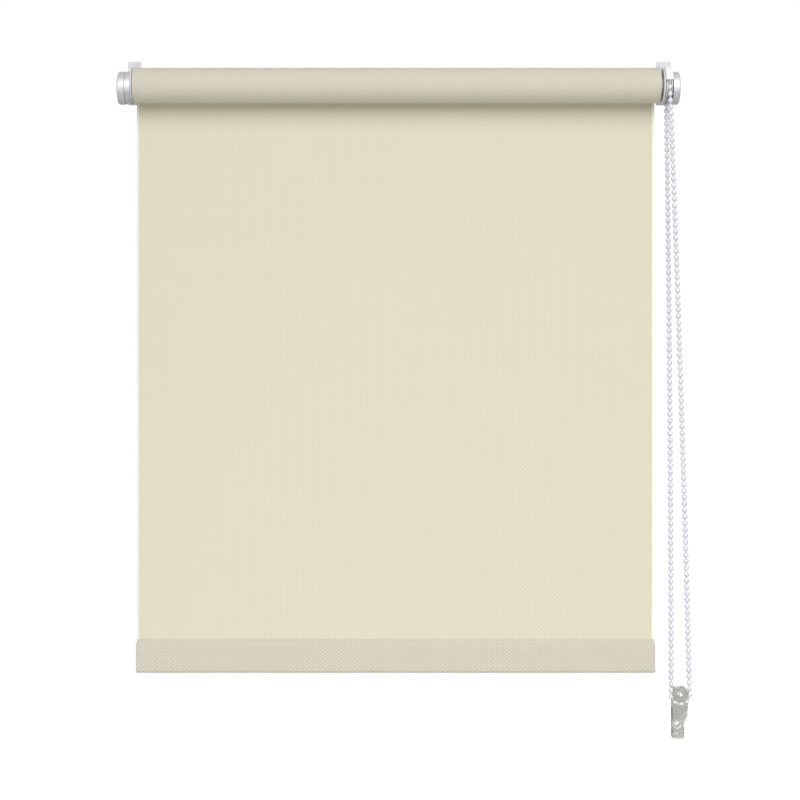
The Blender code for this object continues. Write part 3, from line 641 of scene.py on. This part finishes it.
def turned(profile, centre, axis="X", segments=48):
    """Spin a profile of (distance along the axis, radius) points about X, or about Y."""
    bm = bmesh.new()
    direction = {"X": Vector((1, 0, 0)), "Y": Vector((0, 1, 0))}[axis]
    verts = [bm.verts.new(Vector(centre) + direction * along + Vector((0, 0, radius)))
             for along, radius in profile]
    closed = abs(profile[0][1]) > 1e-9
    following = verts[1:] + verts[:1] if closed else verts[1:]
    edges = [bm.edges.new(pair) for pair in zip(verts, following)]
    bmesh.ops.spin(bm, geom=verts + edges, cent=centre, axis=direction, angle=math.tau,
                   steps=segments, use_merge=True)
    bmesh.ops.remove_doubles(bm, verts=bm.verts, dist=1e-7)
    bmesh.ops.recalc_face_normals(bm, faces=bm.faces)
    return bm


def rod(start, direction, length, radius, segments=32):
    """Plain round bar or hole cutter from a point along a direction."""
    bm = bmesh.new()
    direction = Vector(direction).normalized()
    turn = Vector((0, 0, 1)).rotation_difference(direction).to_matrix().to_4x4()
    centre = Vector(start) + direction * length / 2
    bmesh.ops.create_cone(bm, cap_ends=True, segments=segments, radius1=radius, radius2=radius,
                          depth=length, matrix=Matrix.Translation(centre) @ turn)
    return bm


def block(low, high):
    """Box between two corners."""
    bm = bmesh.new()
    size, centre = Vector(high) - Vector(low), (Vector(high) + Vector(low)) / 2
    spot = Matrix.Translation(centre) @ Matrix.Diagonal((*size, 1.0))
    bmesh.ops.create_cube(bm, size=1.0, matrix=spot)
    return bm


def arc(centre, radius, start, end, steps):
    """Points (y, z) on a circle. Angle 0 is straight up, and angles grow towards the room."""
    angles = [start + (end - start) * step / steps for step in range(steps + 1)]
    return [(centre[0] - radius * math.sin(a), centre[1] + radius * math.cos(a)) for a in angles]


def shell_outline(radius, steps=72):
    """Side view of the covers: round, about a point a little below the tube's axis."""
    return arc((AXIS_Y, -COVER_DROP), radius, 0.0, math.tau * (steps - 1) / steps, steps - 1)


def rounded_plate(left, right, bottom, top, radius, steps=6):
    """Rectangle with round corners, in the plane of the wall."""
    points = []
    for x, z, quarter in ((right, top, 0), (left, top, 1), (left, bottom, 2), (right, bottom, 3)):
        centre_x = x - math.copysign(radius, x - (left + right) / 2)
        centre_z = z - math.copysign(radius, z - (top + bottom) / 2)
        for step in range(steps + 1):
            angle = (quarter + step / steps) * math.pi / 2
            points.append((centre_x + radius * math.cos(angle),
                           centre_z + radius * math.sin(angle)))
    return points


# Bead chain


def wheel_arc(centre, along, up, radius, start, end, steps):
    """Points on a wheel, turning from the direction 'up' towards 'along'."""
    points = []
    for step in range(steps + 1):
        angle = math.radians(start + (end - start) * step / steps)
        points.append(centre + radius * (math.sin(angle) * along + math.cos(angle) * up))
    return points


def on_curve(a, b, c, d, share):
    """Point between b and c on the centripetal Catmull-Rom curve through a, b, c and d."""
    at_b = math.sqrt((b - a).length)
    at_c = at_b + math.sqrt((c - b).length)
    at_d = at_c + math.sqrt((d - c).length)
    t = at_b + (at_c - at_b) * share
    ab = a.lerp(b, t / at_b)
    bc = b.lerp(c, (t - at_b) / (at_c - at_b))
    cd = c.lerp(d, (t - at_c) / (at_d - at_c))
    abc = ab.lerp(bc, t / at_c)
    bcd = bc.lerp(cd, (t - at_b) / (at_d - at_b))
    return abc.lerp(bcd, (t - at_b) / (at_c - at_b))


def chain_path():
    """Centreline of the loop: over the sprocket, down the front, round the pulley, up the back."""
    room, right, up = Vector((0, -1, 0)), Vector((1, 0, 0)), Vector((0, 0, 1))
    top = Vector((SPROCKET_X, AXIS_Y, 0.0))
    route = wheel_arc(top, room, up, SPROCKET_PITCH_RADIUS, 1.0, 90.0, 4)
    route += [Vector(point) for point in FRONT_STRAND]
    route += wheel_arc(PULLEY_CENTRE, right, up, PULLEY_PITCH_RADIUS, 90.0, 270.0, 7)
    route += [Vector(point) for point in reversed(BACK_STRAND)]
    route += wheel_arc(top, room, up, SPROCKET_PITCH_RADIUS, -90.0, -1.0, 4)
    ends = [2 * route[0] - route[1]] + route + [2 * route[-1] - route[-2]]
    path = [route[0]]
    for a, b, c, d in zip(ends, ends[1:], ends[2:], ends[3:]):
        steps = max(2, math.ceil((c - b).length / 0.006))
        path += [on_curve(a, b, c, d, step / steps) for step in range(1, steps + 1)]
    return path


def points_along(path, count):
    """Evenly spaced points, each half a step in from the ends, with the path's direction there."""
    lengths = [(b - a).length for a, b in zip(path, path[1:])]
    total, found, travelled = sum(lengths), [], 0.0
    targets = [(index + 0.5) * total / count for index in range(count)]
    for (a, b), step in zip(zip(path, path[1:]), lengths):
        while targets and targets[0] <= travelled + step + 1e-9:
            share = (targets.pop(0) - travelled) / step
            found.append((a.lerp(b, share), (b - a).normalized()))
        travelled += step
    return found, total


def cord_tube(path, radius, sides):
    """Round cord swept along a path, closed at both ends."""
    curve = bpy.data.curves.new("cord", "CURVE")
    curve.dimensions = "3D"
    spline = curve.splines.new("POLY")
    spline.points.add(len(path) - 1)
    for target, point in zip(spline.points, path):
        target.co = (*point, 1.0)
    curve.bevel_depth = radius
    curve.bevel_resolution = max(0, sides // 4 - 1)
    curve.use_fill_caps = True
    obj = bpy.data.objects.new("cord", curve)
    bpy.context.scene.collection.objects.link(obj)
    shown = obj.evaluated_get(bpy.context.evaluated_depsgraph_get())
    bm = bmesh.new()
    bm.from_mesh(shown.to_mesh())
    shown.to_mesh_clear()
    bpy.data.objects.remove(obj)
    bpy.data.curves.remove(curve)
    return bm


def bead(place_, along, radius):
    """One bead: a ball drawn out a little to its cord at both ends."""
    bm = bmesh.new()
    turn = Vector((0, 0, 1)).rotation_difference(along).to_matrix().to_4x4()
    drawn_out = Matrix.Diagonal((1.0, 1.0, BEAD_STRETCH, 1.0))
    bmesh.ops.create_icosphere(bm, subdivisions=2, radius=radius,
                               matrix=Matrix.Translation(place_) @ turn @ drawn_out)
    return bm


class BLIND_OT_bead_chain(bpy.types.Operator):
    """Make the endless bead chain"""

    bl_idname = "blind.bead_chain"
    bl_label = "Bead Chain"

    def execute(self, context):
        chain = settings().chain
        path = chain_path()
        places, total = points_along(path, BEAD_COUNT)
        bm = cord_tube(path, chain.cord_diameter / 2, chain.cord_sides)
        ball = bpy.data.meshes.new("ball")
        for centre, along in places:
            shape = bead(centre, along, chain.bead_diameter / 2)
            shape.to_mesh(ball)
            shape.free()
            bm.from_mesh(ball)
        bpy.data.meshes.remove(ball)
        obj = finished("chain_loop", bm, "root", chain_plastic(), ("bead_chain",),
                       smooth=80.0, weighted=False)
        return {"FINISHED"}


# Cloth


def cloth_along(stations, left, right, columns, start_length=0.0):
    """One layer of cloth through (y, z) stations, with a UV map in metres."""
    bm = bmesh.new()
    bmesh.ops.create_grid(bm, x_segments=columns, y_segments=len(stations) - 1, size=0.5)
    layer = bm.loops.layers.uv.new("cloth")
    travelled = [start_length]
    for (y0, z0), (y1, z1) in zip(stations, stations[1:]):
        travelled.append(travelled[-1] + math.hypot(y1 - y0, z1 - z0))
    rows = len(stations) - 1
    tags = {vert: (vert.co.x + 0.5, round((vert.co.y + 0.5) * rows)) for vert in bm.verts}
    for face in bm.faces:
        for loop in face.loops:
            share, row = tags[loop.vert]
            loop[layer].uv = (share * (right - left), travelled[row])
    for vert, (share, row) in tags.items():
        y, z = stations[row]
        vert.co = (left + share * (right - left), y, z)
    return bm


def run_length(points):
    return sum(math.dist(a, b) for a, b in zip(points, points[1:]))


def facing(bm, right_way):
    """Turn a one-layer sheet over if its lowest face doesn't look the right way."""
    bm.normal_update()
    lowest = min(bm.faces, key=lambda face: face.calc_center_median().z)
    if not right_way(lowest):
        bmesh.ops.reverse_faces(bm, faces=bm.faces)
        bm.normal_update()


def thickened(bm, thickness):
    """Give a one-layer sheet its thickness, half to each side, with its back as material 1."""
    normals = {vert: vert.normal.copy() for vert in bm.verts}
    made = bmesh.ops.duplicate(bm, geom=bm.verts[:] + bm.edges[:] + bm.faces[:])
    back_faces = [g for g in made["geom"] if isinstance(g, bmesh.types.BMFace)]
    pairs = made["vert_map"]
    bmesh.ops.reverse_faces(bm, faces=back_faces)
    for vert, normal in normals.items():
        other = pairs[vert]
        middle = vert.co.copy()
        vert.co = middle + normal * thickness / 2
        other.co = middle - normal * thickness / 2
    for face in back_faces:
        face.material_index = 1
    rims = [edge for edge in bm.edges if len(edge.link_faces) == 1]
    bmesh.ops.bridge_loops(bm, edges=rims)
    return bm


def spiral(outer, inner, pitch, start, per_turn):
    """Stations (y, z) that wind inwards from an angle, over the top and round the front."""
    turns = (outer - inner) / pitch
    count = round(turns * per_turn)
    points = []
    for index in range(count + 1):
        share = index / count
        angle = start + share * turns * math.tau
        radius = outer - share * (outer - inner)
        points.append((AXIS_Y - radius * math.sin(angle), radius * math.cos(angle)))
    return points


class BLIND_OT_cloth(bpy.types.Operator):
    """Make the wound cloth and the hanging sheet with the roll's outermost turn"""

    bl_idname = "blind.cloth"
    bl_label = "Cloth"

    def execute(self, context):
        cloth = settings().cloth
        finishes = [cloth_material("cloth_face", cloth.face, True, FACE_DEPTH),
                    cloth_material("cloth_back", cloth.back)]
        left, right = SHEET_BOX[0].x, SHEET_BOX[1].x
        hem_y = (SHEET_BOX[0].y + SHEET_BOX[1].y) / 2
        back = -math.pi / 2
        last_turn = spiral(cloth.outer_radius, cloth.outer_radius - cloth.layer_pitch,
                           cloth.layer_pitch, back, 96)
        top_y, bottom = last_turn[0][0], SHEET_BOX[0].z - TUCK
        hanging = []
        for row in range(SHEET_ROWS):
            share = row / SHEET_ROWS
            ease = 1.0 - (1.0 - share) ** 2
            hanging.append((hem_y + (top_y - hem_y) * ease, bottom * (1.0 - share)))
        stations = hanging + last_turn
        bm = cloth_along(stations, left, right, SHEET_COLUMNS)
        drop = run_length(stations)
        facing(bm, lambda face: face.normal.y < 0)
        thickened(bm, cloth.thickness)
        sheet = finished("cloth_sheet", bm, None, finishes, ("fabric_sheet",),
                         smooth=60.0, weighted=False)
        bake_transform(sheet)
        winding_outer = cloth.outer_radius - 1.9 * cloth.layer_pitch
        inner_turns = spiral(winding_outer, cloth.inner_radius, cloth.layer_pitch, back, 48)
        roll_left, roll_right = ROLL_BOX[0].x, ROLL_BOX[1].x
        bm = cloth_along(inner_turns, roll_left, roll_right, 4, drop)
        facing(bm, lambda face: face.normal.z > 0)
        thickened(bm, cloth.thickness)
        winding = finished("cloth_winding", bm, "roller", finishes,
                           ("fabric_roll",), smooth=60.0, weighted=False)
        return {"FINISHED"}


class BLIND_OT_hem(bpy.types.Operator):
    """Make the hem pocket with its weld and the end caps of the bottom bar"""

    bl_idname = "blind.hem"
    bl_label = "Hem and Bottom Bar"

    def execute(self, context):
        cloth = settings().cloth
        finishes = [cloth_material("hem_back", cloth.hem, depth=HEM_DEPTH),
                    cloth_material("cloth_face", cloth.face, True, FACE_DEPTH)]
        left, right = HEM_BOX[0].x, HEM_BOX[1].x
        middle = (HEM_BOX[0].y + HEM_BOX[1].y) / 2
        top, bottom = HEM_BOX[1].z, HEM_BOX[0].z
        half = (HEM_BOX[1].y - HEM_BOX[0].y) / 2 - cloth.thickness / 2
        weld = top - 0.0026
        straight = weld - 0.0036
        gap = cloth.thickness * 1.1
        low = bottom + half + cloth.thickness / 2
        side = [(gap, top - 0.0001), (gap, top - 0.0010), (half * 0.45, weld + 0.0004),
                (half * 0.88, weld - 0.0014), (half * 0.98, straight)]
        side += [(half, straight + (low - straight) * share) for share in (0.25, 0.5, 0.75)]
        stations = [(middle - out, z) for out, z in side]
        stations += arc((middle, low), half, math.pi / 2, 3 * math.pi / 2, 14)
        stations += [(middle + out, z) for out, z in reversed(side)]
        bm = cloth_along(stations, left, right, SHEET_COLUMNS)
        facing(bm, lambda face: face.normal.z < 0)
        thickened(bm, cloth.thickness)
        pocket = finished("hem_pocket", bm, "hem", finishes, ("fabric_hem",),
                          smooth=60.0, weighted=False)
        for side in ("left", "right"):
            node = f"bar_cap_{side}"
            finished(f"bar_end_{side}", refined(node, 0.0003), "hem", guard_plastic(),
                     (node,))
        return {"FINISHED"}


# Brackets, housings and covers


def bracket(name, side):
    """Stamped bracket: wall plate with fixing holes, and the side plate that carries the tube."""
    low, high = WALL_PLATES[side]
    outline = rounded_plate(low, high, WALL_PLATE_BOTTOM, WALL_PLATE_TOP, WALL_PLATE_CORNER)
    near = SIDE_FACES[side]
    ends = sorted((near, near + side * PLATE_THICK))
    edge = [(-0.0006, SHOULDER_Z), (AXIS_Y + 0.0060, NOSE_RADIUS)]
    edge += arc((AXIS_Y, 0.0), NOSE_RADIUS, 0.0, math.pi, 36) + [(-0.0006, HEEL_Z)]
    hole = rod((ends[0] - 0.001, AXIS_Y, 0.0), (1, 0, 0), PLATE_THICK + 0.002, SIDE_HOLES[side], 40)
    steps = [("UNION", extruded(edge, "X", *ends)), ("DIFFERENCE", hole)]
    for height in SCREW_HOLE_HEIGHTS:
        start = (side * SCREW_HOLE_X, 0.001, height)
        steps.append(("DIFFERENCE", rod(start, (0, -1, 0), 0.004, SCREW_HOLE_RADIUS, 28)))
    bm = carved(extruded(outline, "Y", -WALL_PLATE_THICK, 0.0), *steps)
    softened(bm, 0.00022, 2)
    finished(name, bm, "root", bracket_enamel(),
             (name.replace("plate", "bracket"),))


class BLIND_OT_brackets(bpy.types.Operator):
    """Make the two wall brackets"""

    bl_idname = "blind.brackets"
    bl_label = "Brackets"

    def execute(self, context):
        bracket("plate_left", -1)
        bracket("plate_right", 1)
        return {"FINISHED"}


def end_cover(name, side):
    """Round outer cover, open towards its bracket, with a notch for the clutch's arm."""
    inner, outer = side * COVER_INNER[side], side * COVER_OUTER
    bm = extruded(shell_outline(COVER_RADIUS), "X", inner, outer)
    rim = [edge for edge in bm.edges if all(abs(v.co.x - outer) < 1e-6 for v in edge.verts)]
    bmesh.ops.bevel(bm, geom=rim, offset=settings().hardware.cover_edge, offset_type="OFFSET",
                    segments=8, profile=0.5, affect="EDGES", material=-1)
    pocket = shell_outline(COVER_RADIUS - SKIN)
    ends = sorted((inner - side * 0.002, outer - side * (SKIN + 0.0006)))
    steps = [("DIFFERENCE", extruded(pocket, "X", *ends))]
    if side > 0:
        notch = block((inner - 0.002, -0.0170, -0.0054), (0.2544, -0.0090, 0.0054))
        steps.append(("DIFFERENCE", notch))
    bm = carved(bm, *steps)
    softened(bm, 0.00020, 2, 50.0)
    finished(name, bm, "root", cover_plastic(), (name.replace("end_", ""),))


class BLIND_OT_covers(bpy.types.Operator):
    """Make the end covers, the left housing and the chain guard"""

    bl_idname = "blind.covers"
    bl_label = "Covers and Chain Guard"

    def execute(self, context):
        end_cover("end_cover_left", -1)
        end_cover("end_cover_right", 1)
        self.left_housing()
        self.chain_guard()
        return {"FINISHED"}

    def left_housing(self):
        """Drum between the left bracket and its cover, with the socket for the idle pin."""
        inner = -HOUSING_INNER
        recess_start, recess_end = math.radians(112), math.radians(205)
        centre = (AXIS_Y, -COVER_DROP)
        recess = arc(centre, COVER_RADIUS + 0.002, recess_start, recess_end, 24)
        recess += arc(centre, COVER_RADIUS - 0.0005, recess_end, recess_start, 24)
        release = math.radians(152)
        out = Vector((0.0, -math.sin(release), math.cos(release)))
        hole_start = Vector((inner - 0.0022, *centre)) + out * (COVER_RADIUS - 0.003)
        pocket = shell_outline(COVER_RADIUS - SKIN)
        bm = carved(
            extruded(shell_outline(COVER_RADIUS), "X", -HOUSING_OUTER, inner),
            ("DIFFERENCE", extruded(pocket, "X", -HOUSING_OUTER - 0.002, inner - 0.0014)),
            ("UNION", rod((inner - 0.0010, AXIS_Y, 0.0), (-1, 0, 0), 0.0036, PIN_BOSS)),
            ("DIFFERENCE", rod((inner + 0.001, AXIS_Y, 0.0), (-1, 0, 0), 0.0044, PIN_SOCKET)),
            ("DIFFERENCE", extruded(recess, "X", -HOUSING_OUTER - 0.001, inner - 0.0012)),
            ("DIFFERENCE", rod(hole_start, out, 0.006, 0.0006, 14)),
        )
        softened(bm, 0.00018, 2, 50.0)
        finished("end_housing_left", bm, "root", cover_plastic(),
                 ("housing_left",))

    def chain_guard(self):
        """Channel over the sprocket, open where the chain leaves."""
        outer_back, inner_back = SHELL_BACK - 0.0001, SHELL_BACK - 0.0021
        outline = [(outer_back, GUARD_BOTTOM), (outer_back, GUARD_RADIUS)]
        outline += arc((AXIS_Y, 0.0), GUARD_RADIUS, 0.0, GUARD_STOP, 24)
        outline += arc((AXIS_Y, 0.0), GUARD_INNER, GUARD_STOP, 0.0, 24)
        outline += [(inner_back, GUARD_INNER), (inner_back, GUARD_BOTTOM)]
        bm = extruded(outline, "X", *GUARD_X)
        softened(bm, settings().hardware.edge, 3)
        finished("guard_shell", bm, "root", guard_plastic(), ("chain_guard",))


# Clutch, idle end and tube


class BLIND_OT_drive(bpy.types.Operator):
    """Finish the tube, the clutch with its sprocket, and the sprung idle end"""

    bl_idname = "blind.drive"
    bl_label = "Tube, Clutch and Idle End"

    def execute(self, context):
        finished("sprocket_wheel", refined("chain_sprocket", 0.00012, 1), "sprocket",
                 wheel_plastic(), ("chain_sprocket",))
        finished("spindle_core", refined("clutch_spindle", 0.0002), "root", grey_nylon(),
                 ("clutch_spindle",))
        for name, node, body, material, slot in (
                ("hub_body", "drive_hub", "roller", grey_nylon(), "grey_nylon"),
                ("plug_body", "idle_plug", "roller", grey_nylon(), "grey_nylon"),
                ("stop_body", "spring_stop", "roller", grey_nylon(), "grey_nylon"),
                ("pin_body", "idle_pin", "idle_pin", bright_steel(), "bright_steel")):
            finished(name, refined(node, 0.0002), body, material, (node,))
        for node, material in (
                ("roller_tube", brushed_aluminium()), ("bottom_bar", brushed_aluminium()),
                ("fabric_spline", cover_plastic()), ("hub_clip", bright_steel()),
                ("wrap_spring", spring_steel())):
            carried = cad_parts[node]
            carried.data.materials.clear()
            carried.data.materials.append(material)
        self.pin_spring()
        return {"FINISHED"}

    def pin_spring(self):
        """Coil behind the idle pin, which is pressed together as the pin goes in."""
        bm = cad_copy("idle_spring")
        bmesh.ops.remove_doubles(bm, verts=bm.verts, dist=1e-6)
        coil = finished("pin_coil", bm, "roller", spring_steel(), ("idle_spring",))
        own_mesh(coil)


# Tensioner


def tensioner_outline(inset=0.0, top=TENSIONER_TOP, foot=0.0, corner=0.0014, steps=5):
    """Front view of the tensioner, in (x, z), with its narrower waist at the lower right."""
    left, right = TENSIONER_LEFT + inset, TENSIONER_RIGHT - inset
    waist, bottom = TENSIONER_WAIST - inset, TENSIONER_BOTTOM + inset + foot

    def round_corner(x, z, start, radius):
        return [(x + radius * math.cos(math.radians(start + 90 * step / steps)),
                 z + radius * math.sin(math.radians(start + 90 * step / steps)))
                for step in range(steps + 1)]

    points = round_corner(left + corner, bottom + corner, 180, corner)
    points += round_corner(waist - corner, bottom + corner, 270, corner)
    points += [(waist, -0.5905), (right, -0.5835)]
    if top == TENSIONER_TOP:
        points += round_corner(right - 0.0035, top - 0.0035, 0, 0.0035)
        points += round_corner(left + 0.0014, top - 0.0014, 90, 0.0014)
    else:
        points += [(right, top), (left, top)]
    return points


class BLIND_OT_tensioner(bpy.types.Operator):
    """Make the clear tensioner with its pulley and axle"""

    bl_idname = "blind.tensioner"
    bl_label = "Chain Tensioner"

    def execute(self, context):
        screw_x, screw_z = TENSIONER_SCREW
        wall_front = TENSIONER_WALL_FRONT
        low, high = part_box("tensioner_front")
        centre = PULLEY_CENTRE
        pocket = tensioner_outline(TENSIONER_SKIN, TENSIONER_FLOOR + 0.0010, foot=0.0026)
        bm = carved(
            extruded(tensioner_outline(), "Y", -0.0020, 0.0),
            ("UNION", extruded(tensioner_outline(top=TENSIONER_FLOOR), "Y", wall_front, -0.0010)),
            ("DIFFERENCE", extruded(pocket, "Y", wall_front - 0.001, -0.0020)),
            ("UNION", rod((screw_x, wall_front, screw_z), (0, 1, 0), -wall_front - 0.0010, SCREW_BOSS)),
            ("DIFFERENCE", rod((screw_x, wall_front - 0.001, screw_z), (0, 1, 0), 0.02,
                               SCREW_BORE)),
            ("DIFFERENCE", rod((centre.x, -0.004, centre.z), (0, 1, 0), 0.008, AXLE_BORE)),
        )
        softened(bm, 0.0003, 2)
        finished("tensioner_body", bm, "root", clear_plastic(),
                 ("tensioner_back",))
        bm = carved(
            extruded(tensioner_outline(), "Y", low.y, high.y),
            ("DIFFERENCE", rod((screw_x, low.y - 0.001, screw_z), (0, 1, 0), 0.005, LID_OPENING)),
            ("DIFFERENCE", rod((centre.x, low.y - 0.001, centre.z), (0, 1, 0), 0.005, AXLE_BORE)),
        )
        softened(bm, 0.0004, 3)
        finished("tensioner_lid", bm, "root", clear_plastic(),
                 ("tensioner_front",))
        self.pulley()
        finished("axle_pin", refined("tensioner_axle", 0.0003), "root", bright_steel(),
                 ("tensioner_axle",))
        return {"FINISHED"}

    def pulley(self):
        """Small wheel with a rounded groove and low flanges that leave the beads in view."""
        half = (PULLEY_BOX[1].y - PULLEY_BOX[0].y) / 2
        rim, corner, groove_half = 0.0076, 0.0004, 0.0023
        flange = [(half, AXLE_BORE), (half, rim - corner), (half - corner, rim), (groove_half, rim)]
        groove = [(groove_half * math.cos(a), PULLEY_PITCH_RADIUS - 0.0024 * math.sin(a))
                  for a in (math.radians(20 + 14 * step) for step in range(11))]
        profile = flange + groove + [(-along, radius) for along, radius in reversed(flange)]
        bm = turned(profile, PULLEY_CENTRE, "Y", 72)
        finished("pulley_wheel", bm, "pulley", clear_plastic(),
                 ("tensioner_pulley",))


# Stage


LOW_SHARE = 0.044                   # the narrow low light's power beside the key light's
THROUGH_CLEAR = 0.84                # white that clear plastic sees, beside what the camera sees
THROUGH_CLEAR_FLOOR = 0.15
IN_REFLECTIONS = 0.50


def seen_white(tree, *shares):
    """One for camera rays, and a share for each other kind of ray."""
    path = place(tree, "ShaderNodeLightPath")
    seen = path.outputs["Is Camera Ray"]
    for kind, share in shares:
        seen = maths(tree, "MAXIMUM", seen, maths(tree, "MULTIPLY", path.outputs[kind], share))
    return seen


def panel_light(name, place_, target, size, power):
    """Large soft light panel that looks at a point."""
    data = bpy.data.lights.new(name, "AREA")
    data.shape = "RECTANGLE"
    data.size, data.size_y = size
    data.energy = power
    obj = bpy.data.objects.new(name, data)
    bpy.context.scene.collection.objects.link(obj)
    obj.location = place_
    direction = Vector(target) - Vector(place_)
    obj.rotation_euler = direction.to_track_quat("-Z", "Y").to_euler()
    return obj


class BLIND_OT_stage(bpy.types.Operator):
    """Set up the floor, the white surroundings, the soft lights and the camera"""

    bl_idname = "blind.stage"
    bl_label = "Stage"

    def execute(self, context):
        scene, stage = context.scene, settings().stage
        data = bpy.data.cameras.new("camera")
        data.sensor_width = 36.0
        data.lens = stage.lens
        data.clip_start = 0.05
        camera = bpy.data.objects.new("camera", data)
        camera.location = stage.camera
        camera.rotation_euler = (math.pi / 2, 0.0, 0.0)
        scene.collection.objects.link(camera)
        scene.camera = camera
        scene.view_settings.view_transform = "Standard"
        middle = (0.0, 0.0, -0.28)
        panel_light("key_light", (0.25, -2.20, 0.98), middle, (2.2, 1.8), stage.key)
        low = panel_light("low_light", (-0.1, -2.2, -0.62), (0.0, 0.0, -0.80), (1.8, 0.5),
                          stage.key * LOW_SHARE)
        low.data.spread = math.radians(60)
        for name, side in (("back_light_left", -1), ("back_light_right", 1)):
            panel_light(name, (side * 1.6, 1.9, 0.9), middle, (1.6, 1.6), stage.fill)
        self.surroundings(scene, stage)
        self.floor(stage)
        return {"FINISHED"}

    def surroundings(self, scene, stage):
        """White to the camera, and a softer light on the object."""
        world = bpy.data.worlds.new("surroundings")
        world.use_nodes = True
        scene.world = world
        tree = world.node_tree
        background = tree.nodes["Background"]
        background.inputs["Color"].default_value = (1.0, 1.0, 1.0, 1.0)
        seen = seen_white(tree, ("Is Transmission Ray", THROUGH_CLEAR),
                          ("Is Glossy Ray", IN_REFLECTIONS))
        strength = maths(tree, "MULTIPLY_ADD", seen, 1.02 - stage.ambient, stage.ambient)
        tree.links.new(strength, background.inputs["Strength"])

    def floor(self, stage):
        bm = bmesh.new()
        bmesh.ops.create_grid(bm, x_segments=1, y_segments=1, size=4.0,
                              matrix=Matrix.Translation((0.0, 0.0, stage.floor_z)))
        mesh = bpy.data.meshes.new("floor")
        bm.to_mesh(mesh)
        bm.free()
        material = bpy.data.materials.new("floor_white")
        material.use_nodes = True
        shader = material.node_tree.nodes["Principled BSDF"]
        shader.inputs["Base Color"].default_value = (0.70, 0.70, 0.70, 1.0)
        shader.inputs["Roughness"].default_value = 0.9
        shader.inputs["Emission Color"].default_value = (1.0, 1.0, 1.0, 1.0)
        seen = seen_white(material.node_tree, ("Is Transmission Ray", THROUGH_CLEAR_FLOOR))
        material.node_tree.links.new(seen, shader.inputs["Emission Strength"])
        mesh.materials.append(material)
        obj = bpy.data.objects.new("floor", mesh)
        bpy.context.scene.collection.objects.link(obj)


# Panel and registration

OPERATORS = (
    BLIND_OT_stage, BLIND_OT_bead_chain, BLIND_OT_cloth, BLIND_OT_hem, BLIND_OT_brackets,
    BLIND_OT_covers, BLIND_OT_drive, BLIND_OT_tensioner,
)


class BLIND_PT_build(bpy.types.Panel):
    """Buttons that build the roller blind"""

    bl_idname = "BLIND_PT_build"
    bl_label = "Roller Blind"
    bl_space_type = "VIEW_3D"
    bl_region_type = "UI"
    bl_category = "Blind"

    def draw(self, context):
        for operator in OPERATORS:
            self.layout.operator(operator.bl_idname)


CLASSES = (
    BLIND_ClothSettings, BLIND_ChainSettings, BLIND_HardwareSettings, BLIND_StageSettings,
    BLIND_Settings, *OPERATORS, BLIND_PT_build,
)


def register():
    for cls in CLASSES:
        bpy.utils.register_class(cls)
    bpy.types.Scene.roller_blind = PointerProperty(type=BLIND_Settings)


def unregister():
    del bpy.types.Scene.roller_blind
    for cls in reversed(CLASSES):
        bpy.utils.unregister_class(cls)


def main():
    register()
    for step in (bpy.ops.blind.stage, bpy.ops.blind.bead_chain, bpy.ops.blind.cloth,
                 bpy.ops.blind.hem, bpy.ops.blind.brackets, bpy.ops.blind.covers,
                 bpy.ops.blind.drive, bpy.ops.blind.tensioner):
        step()


if __name__ == "__main__":
    main()
